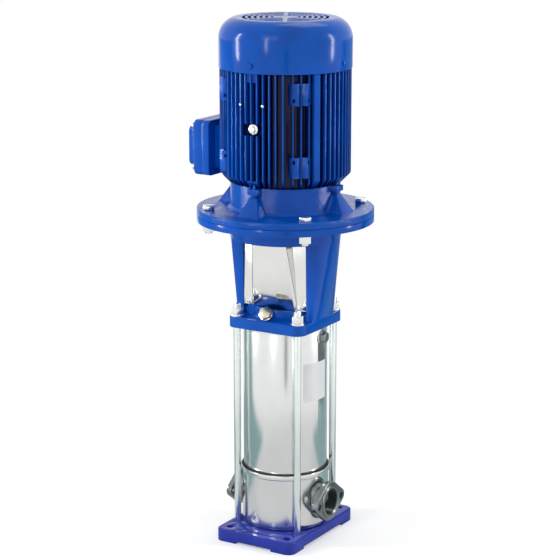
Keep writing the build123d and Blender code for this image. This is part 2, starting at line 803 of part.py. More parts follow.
# ================================================================== lantern bracket
fill_direction = (0, -cos(radians(fill_plug_tilt)), sin(radians(fill_plug_tilt)))
fill_seat = Plane(origin=(0, -fill_plug_reach, foot_top + fill_plug_rise), z_dir=fill_direction)


def leg_block(inset, bottom, top):
    """Both lantern legs as solids between two levels, their outer sides moved inwards.

    A cone that widens upwards is cut to a tapering width, and its outer side is flattened
    towards the foot.
    """
    with BuildPart() as block:
        with BuildSketch(Plane.XZ):
            with BuildLine():
                low, high = lantern_leg_bottom_radius - inset, lantern_ring_radius - inset
                Polyline((0, foot_top), (low, foot_top), (high, ring_bottom), (high, ring_top),
                         (0, ring_top), close=True)
            make_face()
        revolve(axis=Axis.Z)
        with BuildSketch(Plane.XY.offset(foot_top)):
            Circle(lantern_leg_bottom_radius - inset)
        extrude(amount=-lantern_foot_thickness)
        for plane, low, high in ((Plane.YZ, lantern_leg_bottom_width / 2, lantern_leg_top_width / 2),
                                 (Plane.XZ, lantern_side / 2, lantern_ring_radius)):
            low, high = low - inset, high - inset
            with BuildSketch(plane):
                with BuildLine():
                    Polyline((-low, lantern_bottom), (low, lantern_bottom), (low, foot_top),
                             (high, ring_bottom), (high, ring_top), (-high, ring_top),
                             (-high, ring_bottom), (-low, foot_top), (-low, lantern_bottom))
                make_face()
            extrude(amount=lantern_side, both=True, mode=Mode.INTERSECT)
        with BuildSketch(Plane.XY.offset(bottom)):
            Rectangle(2 * lantern_side, lantern_side)
            Rectangle(2 * lantern_leg_inner, lantern_side, mode=Mode.SUBTRACT)
        extrude(amount=top - bottom, mode=Mode.INTERSECT)
    return block.part


with BuildPart() as lantern_bracket:
    with BuildSketch(Plane.XY.offset(lantern_bottom)):
        RectangleRounded(lantern_side, lantern_side, lantern_corner_radius)
    extrude(amount=lantern_foot_thickness)
    fillet(lantern_bracket.faces().sort_by(Axis.Z)[-1].edges(), lantern_foot_fillet)
    # two channel-section legs
    add(leg_block(0, foot_top - lantern_root, ring_bottom + lantern_root))
    add(leg_block(lantern_leg_wall, sill_top, ring_bottom), mode=Mode.SUBTRACT)
    # sill ring, upper ring and the motor flange
    with BuildSketch(Plane.XZ):
        with BuildLine():
            sill_foot = lantern_sill_radius + lantern_sill_flare
            leg_root = foot_top - lantern_root
            Polyline((lantern_bore_radius, leg_root), (sill_foot, leg_root), (sill_foot, foot_top),
                     (lantern_sill_radius, foot_top + lantern_sill_flare), (lantern_sill_radius, sill_top),
                     (lantern_bore_radius, sill_top), close=True)
        make_face()
        with BuildLine():
            Polyline((lantern_ring_bore, ring_bottom), (lantern_ring_radius, ring_bottom),
                     (lantern_ring_radius, ring_top), (flange_radius, ring_top), (flange_radius, flange_face),
                     (flange_spigot_radius + fit_gap, flange_face),
                     (flange_spigot_radius + fit_gap, flange_face - flange_spigot_height - 0.5),
                     (lantern_ring_bore, flange_face - flange_spigot_height - 0.5), close=True)
        make_face()
    revolve(axis=Axis.Z)
    # webs that tie each leg to the sill
    web_inner = lantern_sill_radius - 3
    with BuildSketch(Plane.XY.offset(leg_root)):
        for side in (-1, 1):
            with Locations((side * (web_inner + lantern_leg_inner) / 2, 0)):
                Rectangle(lantern_leg_inner - web_inner + 2, lantern_leg_bottom_width - 10)
    extrude(amount=lantern_sill_height)
    # lugs behind the guards' lower corners
    lug_face_y = guard_plane - guard_thickness
    lug_places = [(x, y) for x in (-guard_screw_offset, guard_screw_offset) for y in (-1, 1)]
    with BuildSketch(Plane.XY.offset(leg_root)):
        for x, side in lug_places:
            with Locations((x, side * (lug_face_y - guard_lug_depth / 2))):
                Rectangle(guard_lug_width, guard_lug_depth)
    extrude(amount=guard_lug_height + lantern_root)
    # fill plug boss
    with BuildSketch(fill_seat):
        Circle(fill_boss_radius)
    extrude(amount=-fill_boss_depth)
    # bores and holes
    with BuildSketch(Plane.XY.offset(lantern_bottom)):
        Circle(lantern_bore_radius)
    extrude(amount=lantern_foot_thickness + lantern_sill_height, mode=Mode.SUBTRACT)
    with Locations(*rod_places(foot_top)):
        Hole(rod_radius + seat_gap, depth=lantern_foot_thickness)
    with Locations((0, 0, flange_face)):
        with PolarLocations(flange_pitch_radius, 4, 45):
            Hole(flange_hole_radius, depth=lantern_flange_thickness + 1)
    with BuildSketch(fill_seat):
        Circle(fill_plug_thread_radius + seat_gap)
    extrude(amount=-plug_thread_length - 2, mode=Mode.SUBTRACT)
    guard_screw_level = foot_top + guard_rise + guard_screw_rise
    guard_screw_points = [(x, guard_screw_level) for x in (-guard_screw_offset, guard_screw_offset)]
    with BuildSketch(Plane.XZ):
        with Locations(*guard_screw_points):
            Circle(guard_screw_radius + fit_gap)
    extrude(amount=lug_face_y, both=True, mode=Mode.SUBTRACT)
save(lantern_bracket.part, "lantern_bracket")

fill_plug_sizes = (fill_plug_across_flats, fill_plug_collar_radius, fill_plug_thread_radius)
save(screw_plug(fill_seat, *fill_plug_sizes), "fill_plug")


def hood_block(inset):
    """The solid block of a guard's hood, each side moved inwards by a distance."""
    bottom = foot_top + guard_rise
    top = ring_bottom + guard_tuck
    with BuildPart() as block:
        for level, width, reach in ((bottom, guard_hood_bottom_width, guard_hood_bottom),
                                    (top, guard_hood_top_width, guard_hood_top)):
            with BuildSketch(Plane.XY.offset(level)):
                RectangleRounded(width - 2 * inset, 2 * (reach - inset), guard_hood_radius - inset)
        loft()
    return block.part


def coupling_guard(side):
    """A sheet with flat wings and a pressed hood that closes the +Y (1) or -Y (-1) window."""
    bottom = foot_top + guard_rise
    height = ring_bottom + guard_tuck - bottom
    half_width = lantern_leg_inner - guard_side_gap
    wing_middle = side * (guard_plane - guard_thickness / 2)
    outside = 2 * guard_hood_top
    with BuildPart() as guard:
        add(hood_block(0))
        add(hood_block(guard_thickness), mode=Mode.SUBTRACT)
        with BuildSketch(Plane.XY.offset(bottom)):
            with Locations((0, side * (guard_plane - guard_thickness - outside / 2))):
                Rectangle(outside, outside)
        extrude(amount=height, mode=Mode.SUBTRACT)
        with BuildSketch(Plane.XY.offset(bottom)):
            with Locations((0, wing_middle)):
                Rectangle(2 * half_width, guard_thickness)
        extrude(amount=height)
        add(hood_block(guard_thickness), mode=Mode.SUBTRACT)
        with BuildSketch(Plane.XZ):
            with Locations(*guard_screw_points):
                Circle(guard_screw_radius + seat_gap)
        extrude(amount=guard_plane, both=True, mode=Mode.SUBTRACT)
    return guard.part


save(coupling_guard(-1), "guard_front")
save(coupling_guard(1), "guard_rear")

guard_screw_solids = []
for side in (-1, 1):
    for x in (-guard_screw_offset, guard_screw_offset):
        seat = Plane(origin=(x, side * guard_plane, guard_screw_level), z_dir=(0, side, 0))
        with BuildPart() as screw:
            with BuildSketch(seat):
                Circle(guard_screw_head_radius)
            extrude(amount=guard_screw_head_height)
            rim = screw.faces().sort_by(Axis((0, 0, 0), (0, side, 0)))[-1].edges()
            fillet(rim, guard_screw_head_height / 3)
            with BuildSketch(seat):
                Circle(guard_screw_radius)
            extrude(amount=-guard_screw_length)
        guard_screw_solids.append(screw.part)
save(Compound(children=guard_screw_solids), "guard_screws")


# ================================================================== coupling
def coupling_half(side):
    """Half of the clamp coupling, on the +Y (side 1) or -Y (side -1) side of the split."""
    bore_step = motor_shaft_bottom - 1
    with BuildPart() as half:
        with BuildSketch(Plane.XY.offset(coupling_bottom)):
            Circle(coupling_radius)
            with Locations((0, -side * coupling_radius)):
                Rectangle(3 * coupling_radius, 2 * coupling_radius + coupling_split, mode=Mode.SUBTRACT)
        extrude(amount=coupling_length)
        with BuildSketch(Plane.XY.offset(coupling_bottom)):
            Circle(shaft_radius + fit_gap)
        extrude(amount=coupling_length, mode=Mode.SUBTRACT)
        with BuildSketch(Plane.XY.offset(bore_step)):
            Circle(motor_shaft_radius + fit_gap)
        extrude(amount=coupling_length, mode=Mode.SUBTRACT)
        with BuildSketch(Plane.XZ):
            with Locations((0, (coupling_bottom + coupling_top) / 2)):
                with GridLocations(2 * coupling_screw_offset, coupling_screw_pitch, 2, 3):
                    Circle(coupling_screw_radius + fit_gap)
        extrude(amount=coupling_radius, both=True, mode=Mode.SUBTRACT)
        with BuildSketch(Plane.XZ.offset(-side * coupling_screw_seat)):
            with Locations((0, (coupling_bottom + coupling_top) / 2)):
                with GridLocations(2 * coupling_screw_offset, coupling_screw_pitch, 2, 3):
                    Circle(coupling_screw_head_radius + 0.5)
        extrude(amount=-side * coupling_radius, mode=Mode.SUBTRACT)
    return half.part


save(coupling_half(1), "coupling_half_rear")
save(coupling_half(-1), "coupling_half_front")

with BuildPart() as coupling_screws:
    with BuildSketch(Plane.XZ.offset(-coupling_screw_seat)):
        with Locations((0, (coupling_bottom + coupling_top) / 2)):
            with GridLocations(2 * coupling_screw_offset, coupling_screw_pitch, 2, 3):
                Circle(coupling_screw_radius)
    extrude(amount=2 * coupling_screw_seat)
    with BuildSketch(Plane.XZ.offset(coupling_screw_seat)):
        with Locations((0, (coupling_bottom + coupling_top) / 2)):
            with GridLocations(2 * coupling_screw_offset, coupling_screw_pitch, 2, 3):
                Circle(coupling_screw_head_radius)
                RegularPolygon(3, 6, mode=Mode.SUBTRACT)
    extrude(amount=coupling_screw_head_height)
save(coupling_screws.part, "coupling_screws")

# ================================================================== motor: drive end shield and its bolts
with BuildPart() as drive_shield:
    with BuildSketch(Plane.XZ):
        with BuildLine():
            shaft_hole = motor_shaft_radius + 2.5
            seat = drive_bearing_radius + fit_gap
            bearing_top = drive_bearing_bottom + drive_bearing_width
            Polyline((shaft_hole, flange_face - flange_spigot_height),
                     (flange_spigot_radius, flange_face - flange_spigot_height),
                     (flange_spigot_radius, flange_face), (flange_radius, flange_face),
                     (flange_radius, flange_top), (drum_radius + 5, flange_top),
                     (drum_radius, flange_top + 5), (drum_radius, frame_bottom),
                     (drum_radius - drum_wall, frame_bottom), (drum_radius - drum_wall, flange_top + 2),
                     (seat + 8, flange_top + 2), (seat + 8, bearing_top), (seat, bearing_top),
                     (seat, drive_bearing_bottom), (shaft_hole, drive_bearing_bottom), close=True)
        make_face()
    revolve(axis=Axis.Z)
    fillet(drive_shield.edges().filter_by(GeomType.CIRCLE).filter_by(
        lambda e: abs(e.radius - flange_radius) < 0.01), 1.5)
    for angle in side_angles:
        rib_root = drum_radius - 3
        with BuildPart(mode=Mode.PRIVATE) as rib:
            for level, reach, width in ((flange_top - 1, rib_foot_radius, rib_foot_width),
                                        (flange_top + rib_height, rib_top_radius, rib_top_width)):
                middle = polar((rib_root + reach) / 2, angle, level)
                with BuildSketch(Plane(origin=middle, x_dir=polar(1, angle), z_dir=(0, 0, 1))):
                    Rectangle(reach - rib_root, width)
            loft()
        add(rib.part)
        lug_centre = polar((rib_root + lug_face) / 2, angle, frame_bottom - shield_lug_height)
        with BuildSketch(Plane(origin=lug_centre, x_dir=polar(1, angle), z_dir=(0, 0, 1))):
            Rectangle(lug_face - rib_root, lug_width)
        extrude(amount=shield_lug_height)
        with BuildSketch(Plane.XY.offset(frame_bottom)):
            with Locations(polar(shield_screw_circle, angle)):
                Circle(shield_screw_radius + fit_gap)
        extrude(amount=-shield_lug_height, mode=Mode.SUBTRACT)
    with Locations((0, 0, flange_top)):
        with PolarLocations(flange_pitch_radius, 4, 45):
            Hole(flange_hole_radius, depth=flange_thickness)
save(drive_shield.part, "drive_shield")

bolt_places = [polar(flange_pitch_radius, angle) for angle in corner_angles]
with BuildPart() as flange_bolts:
    bolt_bottom = ring_top - washer_thickness - nut_height - 4
    with BuildSketch(Plane.XY.offset(bolt_bottom)):
        with Locations(*bolt_places):
            Circle(flange_bolt_radius)
    extrude(amount=flange_top - bolt_bottom)
    with BuildSketch(Plane.XY.offset(flange_top)):
        with Locations(*bolt_places):
            RegularPolygon(nut_across_flats / 2, 6, major_radius=False)
    extrude(amount=flange_bolt_head_height)
save(flange_bolts.part, "flange_bolts")

with BuildPart() as flange_nuts:
    with BuildSketch(Plane.XY.offset(ring_top - washer_thickness)):
        with Locations(*bolt_places):
            Circle(washer_radius)
            Circle(flange_bolt_radius + fit_gap, mode=Mode.SUBTRACT)
    extrude(amount=washer_thickness)
    with BuildSketch(Plane.XY.offset(ring_top - washer_thickness - nut_height)):
        with Locations(*bolt_places):
            RegularPolygon(nut_across_flats / 2, 6, major_radius=False)
            Circle(flange_bolt_radius + fit_gap, mode=Mode.SUBTRACT)
    extrude(amount=nut_height)
save(flange_nuts.part, "flange_nuts")

# ================================================================== motor frame
box_bottom_level = box_centre - neck_height / 2

with BuildPart() as motor_frame:
    with BuildSketch(Plane.XY.offset(frame_bottom)):
        Circle(frame_barrel)
        fin_reach = fin_radius - frame_barrel + 3
        fin_middle = fin_radius - fin_reach / 2
        side_range = fin_pitch * (fins_per_side - 1)
        for side in side_angles:
            first = side - side_range / 2
            with PolarLocations(fin_middle, fins_per_side, first, side_range, endpoint=True):
                Rectangle(fin_reach, fin_thickness)
        for diagonal in corner_angles:
            first = diagonal - pad_fin_spread
            with PolarLocations(fin_middle - 2, 3, first, 2 * pad_fin_spread, endpoint=True):
                Rectangle(fin_reach - 4, fin_thickness)
        for side in (0, 180):
            for turn in (-1, 1):
                with PolarLocations(fin_middle, 1, side + turn * rail_angle):
                    Rectangle(fin_reach, rail_thickness)
                with PolarLocations(fin_middle, 1, side + turn * wide_rail_angle):
                    Rectangle(fin_reach, wide_rail_thickness)
    extrude(amount=frame_length)
    # foot pads: faces square to X and to Y beside every diagonal
    for level, height, hole_level in (
            (frame_top - pad_upper_drop - pad_upper_height, pad_upper_height,
             frame_top - pad_upper_drop - pad_upper_height + pad_hole_inset),
            (frame_bottom + pad_lower_rise, pad_lower_height,
             frame_bottom + pad_lower_rise + pad_lower_height - pad_hole_inset)):
        with BuildSketch(Plane.XY.offset(level)):
            for sign_x in (-1, 1):
                for sign_y in (-1, 1):
                    with Locations((sign_x * pad_offset, sign_y * (pad_face - 10))):
                        Rectangle(pad_width, 20)
                    with Locations((sign_x * (pad_face - 10), sign_y * pad_offset)):
                        Rectangle(20, pad_width)
        extrude(amount=height)
        pad_points = [(x, hole_level) for x in (-pad_offset, pad_offset)]
        for sign in (-1, 1):
            with BuildSketch(Plane.XZ.offset(sign * pad_face)):
                with Locations(*pad_points):
                    Circle(pad_hole_radius)
            extrude(amount=-sign * pad_hole_depth, mode=Mode.SUBTRACT)
            with BuildSketch(Plane.YZ.offset(sign * pad_face)):
                with Locations(*pad_points):
                    Circle(pad_hole_radius)
            extrude(amount=-sign * pad_hole_depth, mode=Mode.SUBTRACT)
    # lugs that take the end shields' screws, and the earth screw's clearing and boss
    for side in side_angles:
        for level, height in ((frame_bottom, lug_height), (frame_top - lug_height, lug_height)):
            middle = polar((frame_barrel + lug_face) / 2 - 1, side, level)
            with BuildSketch(Plane(origin=middle, x_dir=polar(1, side), z_dir=(0, 0, 1))):
                Rectangle(lug_face - frame_barrel + 2, lug_width)
            extrude(amount=height)
    earth_level = frame_bottom + earth_rise
    with BuildSketch(Plane.XZ.offset(frame_barrel + 2)):
        with Locations((0, earth_level)):
            Rectangle(earth_clear_width, earth_clear_height)
    extrude(amount=fin_radius, mode=Mode.SUBTRACT)
    with BuildSketch(Plane.XZ.offset(frame_barrel - 4)):
        with Locations((0, earth_level)):
            Circle(earth_boss_radius)
    extrude(amount=earth_boss_face - frame_barrel + 4)
    # neck that carries the terminal box
    with BuildSketch(Plane.YZ.offset(-box_back)):
        with Locations((0, box_centre)):
            RectangleRounded(neck_width, neck_height, neck_corner_radius)
    extrude(amount=box_back - frame_barrel + neck_wall)
    # fins run in at their lower ends
    with BuildSketch(Plane.XZ):
        with BuildLine():
            Polyline((fin_radius - fin_taper_depth, frame_bottom - 1), (box_back - 2, frame_bottom - 1),
                     (box_back - 2, frame_bottom + fin_taper_height),
                     (fin_radius + 1, frame_bottom + fin_taper_height),
                     (fin_radius - fin_taper_depth, frame_bottom), close=True)
        make_face()
    revolve(axis=Axis.Z, mode=Mode.SUBTRACT)
    with BuildSketch(Plane.XY.offset(frame_bottom)):
        Circle(frame_bore)
    extrude(amount=frame_length, mode=Mode.SUBTRACT)
    with BuildSketch(Plane.YZ.offset(-box_back)):
        with Locations((0, box_centre)):
            RectangleRounded(neck_width - 2 * neck_wall, neck_height - 2 * neck_wall, neck_corner_radius - 2)
    extrude(amount=box_back - frame_bore + 20, mode=Mode.SUBTRACT)
    # cable entries under the neck
    with BuildSketch(Plane.XY.offset(box_bottom_level)):
        with Locations((-frame_barrel - 3 - fin_radius / 2, 0)):
            Rectangle(fin_radius, cable_clear_width)
    extrude(amount=-cable_clear_height, mode=Mode.SUBTRACT)
    with BuildSketch(Plane.XY.offset(box_bottom_level)):
        with Locations((-box_back + cable_plug_inset, 0)):
            with GridLocations(1, cable_plug_spacing, 1, 2):
                Circle(cable_plug_radius + fit_gap)
    extrude(amount=cable_plug_depth + 2, mode=Mode.SUBTRACT)
    with BuildSketch(Plane.XZ.offset(earth_boss_face - earth_screw_length - 2)):
        with Locations((0, earth_level)):
            Circle(earth_screw_radius + fit_gap)
    extrude(amount=earth_screw_length + 4, mode=Mode.SUBTRACT)
    for side in side_angles:
        with BuildSketch(Plane.XY.offset(frame_bottom)):
            with Locations(polar(shield_screw_circle, side)):
                Circle(shield_screw_radius + fit_gap)
        extrude(amount=lug_height, mode=Mode.SUBTRACT)
save(motor_frame.part, "motor_frame")

with BuildPart() as earth_screw:
    with BuildSketch(Plane.XZ.offset(earth_boss_face)):
        with Locations((0, earth_level)):
            Circle(earth_washer_radius)
    extrude(amount=earth_washer_height)
    with BuildSketch(Plane.XZ.offset(earth_boss_face + earth_washer_height)):
        with Locations((0, earth_level)):
            RegularPolygon(earth_head_across_flats / 2, 6, major_radius=False)
    extrude(amount=earth_head_height)
    with BuildSketch(Plane.XZ.offset(earth_boss_face)):
        with Locations((0, earth_level)):
            Circle(earth_screw_radius)
    extrude(amount=-earth_screw_length)
save(earth_screw.part, "earth_screw")

with BuildPart() as stator_core:
    with BuildSketch(Plane.XY.offset(stator_bottom)):
        Circle(frame_bore - fit_gap)
        Circle(stator_bore, mode=Mode.SUBTRACT)
        with PolarLocations(stator_bore + stator_tooth_tip + stator_slot_depth / 2, stator_slot_count):
            Rectangle(stator_slot_depth, stator_slot_width, mode=Mode.SUBTRACT)
    extrude(amount=stator_length)
save(stator_core.part, "stator_core")

with BuildPart() as stator_windings:
    for level in (stator_bottom - winding_height, stator_top):
        with BuildSketch(Plane.XY.offset(level)):
            Circle(winding_outer)
            Circle(winding_inner, mode=Mode.SUBTRACT)
        extrude(amount=winding_height)
save(stator_windings.part, "stator_windings")

with BuildPart() as rotor_core:
    with BuildSketch(Plane.XY.offset(stator_bottom)):
        Circle(stator_bore - air_gap)
        Circle(rotor_seat_radius + fit_gap, mode=Mode.SUBTRACT)
    extrude(amount=stator_length)
    for level in (stator_bottom - end_ring_height, stator_top):
        with BuildSketch(Plane.XY.offset(level)):
            Circle(stator_bore - air_gap - end_ring_step)
            Circle(rotor_seat_radius + end_ring_inset, mode=Mode.SUBTRACT)
        extrude(amount=end_ring_height)
save(rotor_core.part, "rotor_core")

with BuildPart() as motor_shaft:
    with BuildSketch(Plane.XZ):
        with BuildLine():
            rear_bearing_top = rear_bearing_bottom + rear_bearing_width
            drive_bearing_top = drive_bearing_bottom + drive_bearing_width
            Polyline((0, motor_shaft_bottom), (motor_shaft_radius, motor_shaft_bottom),
                     (motor_shaft_radius, drive_bearing_bottom - 4),
                     (drive_bearing_bore, drive_bearing_bottom - 4),
                     (drive_bearing_bore, drive_bearing_top), (rotor_seat_radius, drive_bearing_top),
                     (rotor_seat_radius, rear_bearing_bottom - 6), (rear_bearing_bore, rear_bearing_bottom),
                     (rear_bearing_bore, rear_bearing_top), (fan_seat_radius, rear_bearing_top),
                     (fan_seat_radius, fan_bottom + fan_height), (0, fan_bottom + fan_height), close=True)
        make_face()
    revolve(axis=Axis.Z)
save(motor_shaft.part, "motor_shaft")


drive_bearing = (drive_bearing_bottom, drive_bearing_bore, drive_bearing_radius, drive_bearing_width)
rear_bearing = (rear_bearing_bottom, rear_bearing_bore, rear_bearing_radius, rear_bearing_width)


def bearing_outer_ring(bottom, bore, radius, width):
    """The ring that sits in an end shield."""
    return tube(radius, radius - bearing_ring, bottom, width)


def bearing_inner_ring(bottom, bore, radius, width):
    """The ring that sits on the motor shaft."""
    return tube(bore + bearing_ring, bore + fit_gap, bottom, width)


def bearing_balls(bottom, bore, radius, width):
    """One row of balls between the rings."""
    ball_radius = (radius - bore) / 2 - bearing_ring - bearing_ball_gap
    with BuildPart() as balls:
        with Locations((0, 0, bottom + width / 2)):
            with PolarLocations((radius + bore) / 2, bearing_ball_count):
                Sphere(ball_radius)
    return balls.part


outer_ring_solids = [bearing_outer_ring(*bearing) for bearing in (drive_bearing, rear_bearing)]
inner_ring_solids = [bearing_inner_ring(*bearing) for bearing in (drive_bearing, rear_bearing)]
save(Compound(children=outer_ring_solids), "bearing_outer_rings")
save(Compound(children=inner_ring_solids), "bearing_inner_rings")
save(bearing_balls(*drive_bearing), "drive_bearing_balls")
save(bearing_balls(*rear_bearing), "rear_bearing_balls")

# ================================================================== rear shield, fan and cover
with BuildPart() as rear_shield:
    with BuildSketch(Plane.XZ):
        with BuildLine():
            seat = rear_bearing_radius + fit_gap
            hub_top_level = frame_top + rear_shield_height
            Polyline((rear_bearing_bore + 4, rear_bearing_bottom - 3), (seat + 6, rear_bearing_bottom - 3),
                     (seat + 6, frame_top), (frame_barrel, frame_top),
                     (frame_barrel, frame_top + rear_shield_thickness),
                     (seat + 6, frame_top + rear_shield_thickness + 4), (seat + 6, hub_top_level),
                     (seat, hub_top_level), (seat, rear_bearing_bottom),
                     (rear_bearing_bore + 4, rear_bearing_bottom), close=True)
        make_face()
    revolve(axis=Axis.Z)
    for side in side_angles:
        middle = polar((frame_barrel - 6 + rear_lug_radius) / 2, side, frame_top)
        with BuildSketch(Plane(origin=middle, x_dir=polar(1, side), z_dir=(0, 0, 1))):
            Rectangle(rear_lug_radius - frame_barrel + 6, rear_lug_width)
        extrude(amount=rear_lug_height)
        with BuildSketch(Plane(origin=polar(rear_lug_radius + 1, side, cover_bottom + cover_screw_rise),
                               z_dir=polar(1, side))):
            Circle(cover_screw_radius + fit_gap)
        extrude(amount=-cover_screw_length, mode=Mode.SUBTRACT)
save(rear_shield.part, "rear_shield")

with BuildPart() as shield_screws:
    screw_places = [polar(shield_screw_circle, side) for side in side_angles]
    with BuildSketch(Plane.XY.offset(frame_bottom - shield_lug_height - shield_screw_head_height)):
        with Locations(*screw_places):
            RegularPolygon(shield_screw_head_radius, 6)
    extrude(amount=shield_screw_head_height)
    with BuildSketch(Plane.XY.offset(frame_bottom - shield_lug_height)):
        with Locations(*screw_places):
            Circle(shield_screw_radius)
    extrude(amount=shield_screw_length)
save(shield_screws.part, "shield_screws")

with BuildPart() as fan:
    with BuildSketch(Plane.XY.offset(fan_bottom)):
        Circle(fan_hub_radius)
    extrude(amount=fan_height)
    with BuildSketch(Plane.XY.offset(fan_bottom)):
        Circle(fan_disc_radius)
    extrude(amount=fan_disc_thickness)
    with BuildSketch(Plane.XY.offset(fan_bottom)):
        with PolarLocations((fan_hub_radius + fan_radius) / 2 - 2, fan_blade_count):
            Rectangle(fan_radius - fan_hub_radius + 4, fan_blade_thickness)
    extrude(amount=fan_height - 4)
    with BuildSketch(Plane.XY.offset(fan_bottom)):
        Circle(fan_seat_radius + fit_gap)
    extrude(amount=fan_height, mode=Mode.SUBTRACT)
save(fan.part, "fan")


def cover_outline(offset):
    """Outline of the fan cover's shell, moved inwards by a distance."""
    side = cover_radius - offset
    top = cover_top - offset
    shoulder = cover_top - cover_crown_height
    return side, shoulder, cover_crown_radius - offset / 2, top


with BuildPart() as fan_cover:
    with BuildSketch(Plane.XZ):
        with BuildLine():
            side, shoulder, crown, top = cover_outline(0)
            side_in, shoulder_in, crown_in, top_in = cover_outline(cover_wall)
            Line((side_in, cover_bottom), (side, cover_bottom))
            Line((side, cover_bottom), (side, shoulder))
            TangentArc((side, shoulder), (crown, top), tangent=(0, 1))
            Line((crown, top), (0, top))
            Line((0, top), (0, top_in))
            Line((0, top_in), (crown_in, top_in))
            TangentArc((side_in, shoulder_in), (crown_in, top_in), tangent=(0, 1))
            Line((side_in, shoulder_in), (side_in, cover_bottom))
        make_face()
    revolve(axis=Axis.Z)
    with BuildSketch(Plane.XY.offset(top_in - 1)):
        for n in reversed(range(grille_rings)):
            inner_radius = grille_inner + n * grille_pitch
            Circle(inner_radius + grille_slot)
            Circle(inner_radius, mode=Mode.SUBTRACT)
        with PolarLocations(cover_crown_radius / 2, grille_spokes):
            Rectangle(cover_crown_radius, grille_spoke_width, mode=Mode.SUBTRACT)
    extrude(amount=cover_wall + 2, mode=Mode.SUBTRACT)
    for side_angle in side_angles:
        with BuildSketch(Plane(origin=polar(cover_radius - 4, side_angle, cover_bottom + cover_screw_rise),
                               z_dir=polar(1, side_angle))):
            Circle(cover_screw_radius + seat_gap)
        extrude(amount=8, mode=Mode.SUBTRACT)
save(fan_cover.part, "fan_cover")

cover_screw_solids = []
for side_angle in side_angles:
    seat = Plane(origin=polar(cover_radius, side_angle, cover_bottom + cover_screw_rise),
                 z_dir=polar(1, side_angle))
    with BuildPart() as screw:
        with BuildSketch(seat):
            Circle(cover_screw_head_radius)
        extrude(amount=cover_screw_head_height)
        rim = screw.faces().sort_by(Axis((0, 0, 0), polar(1, side_angle)))[-1].edges()
        fillet(rim, cover_screw_head_height / 2)
        with BuildSketch(seat):
            Circle(cover_screw_radius)
        extrude(amount=-cover_screw_length)
    cover_screw_solids.append(screw.part)
save(Compound(children=cover_screw_solids), "fan_cover_screws")

# ================================================================== terminal box
lid_back = box_back + box_depth
lid_face = lid_back + lid_depth

screw_y = box_width / 2 - lid_screw_inset
screw_z = box_height / 2 - lid_screw_inset

with BuildPart() as terminal_box:
    with BuildSketch(Plane.YZ.offset(-box_back)):
        with Locations((0, box_centre)):
            RectangleRounded(box_width, box_height, box_corner_radius)
    extrude(amount=-box_depth)
    with BuildSketch(Plane.YZ.offset(-box_back - box_wall)):
        with Locations((0, box_centre)):
            inner_width = box_width - 2 * box_wall
            inner_height = box_height - 2 * box_wall
            RectangleRounded(inner_width, inner_height, box_corner_radius - box_wall / 2)
            with GridLocations(2 * screw_y, 2 * screw_z, 2, 2):
                Circle(lid_post_radius, mode=Mode.SUBTRACT)
    extrude(amount=-box_depth, mode=Mode.SUBTRACT)
    with BuildSketch(Plane.YZ.offset(-lid_back)):
        with Locations((0, box_centre)):
            with GridLocations(2 * screw_y, 2 * screw_z, 2, 2):
                Circle(lid_screw_radius + fit_gap)
    extrude(amount=box_depth - box_wall / 2, mode=Mode.SUBTRACT)
save(terminal_box.part, "terminal_box")

with BuildPart() as terminal_lid:
    with BuildSketch(Plane.YZ.offset(-lid_back)):
        with Locations((0, box_centre)):
            RectangleRounded(box_width, box_height, box_corner_radius)
    extrude(amount=-lid_depth)
    chamfer(terminal_lid.faces().sort_by(Axis.X)[0].edges(), lid_chamfer)
    with BuildSketch(Plane.YZ.offset(-lid_face + 1)):
        with Locations((0, box_centre)):
            panel_width = box_width - 2 * lid_panel_inset
            panel_height = box_height - 2 * lid_panel_inset
            RectangleRounded(panel_width, panel_height, lid_panel_corner)
    extrude(amount=-lid_panel_depth - 1)
    fillet(terminal_lid.faces().sort_by(Axis.X)[0].edges(), 2.0)
    with BuildSketch(Plane.YZ.offset(-lid_back)):
        with Locations((0, box_centre)):
            inner_width = box_width - 2 * lid_chamfer - lid_wall
            inner_height = box_height - 2 * lid_chamfer - lid_wall
            RectangleRounded(inner_width, inner_height, box_corner_radius)
            with GridLocations(2 * screw_y, 2 * screw_z, 2, 2):
                Circle(lid_post_radius, mode=Mode.SUBTRACT)
    extrude(amount=-lid_depth + lid_wall, mode=Mode.SUBTRACT)
    with BuildSketch(Plane.YZ.offset(-lid_back)):
        with Locations((0, box_centre)):
            with GridLocations(2 * screw_y, 2 * screw_z, 2, 2):
                Circle(lid_screw_radius + fit_gap)
    extrude(amount=-lid_depth, mode=Mode.SUBTRACT)
save(terminal_lid.part, "terminal_lid")

with BuildPart() as lid_screws:
    with BuildSketch(Plane.YZ.offset(-lid_face)):
        with Locations((0, box_centre)):
            with GridLocations(2 * screw_y, 2 * screw_z, 2, 2):
                Circle(lid_screw_head_radius)
                RegularPolygon(lid_screw_head_radius / 2, 6, mode=Mode.SUBTRACT)
    extrude(amount=-lid_screw_head_height)
    with BuildSketch(Plane.YZ.offset(-lid_face)):
        with Locations((0, box_centre)):
            with GridLocations(2 * screw_y, 2 * screw_z, 2, 2):
                Circle(lid_screw_radius)
    extrude(amount=lid_screw_length)
save(lid_screws.part, "lid_screws")

board_face = box_back + box_wall + board_thickness
with BuildPart() as terminal_board:
    with BuildSketch(Plane.YZ.offset(-box_back - box_wall)):
        with Locations((0, box_centre)):
            RectangleRounded(board_width, board_height, 3)
    extrude(amount=-board_thickness)
    with BuildSketch(Plane.YZ.offset(-board_face)):
        with Locations((0, box_centre)):
            with GridLocations(board_width / 3, board_height / 2, 3, 2):
                Circle(board_stud_radius)
    extrude(amount=-board_stud_height)
save(terminal_board.part, "terminal_board")

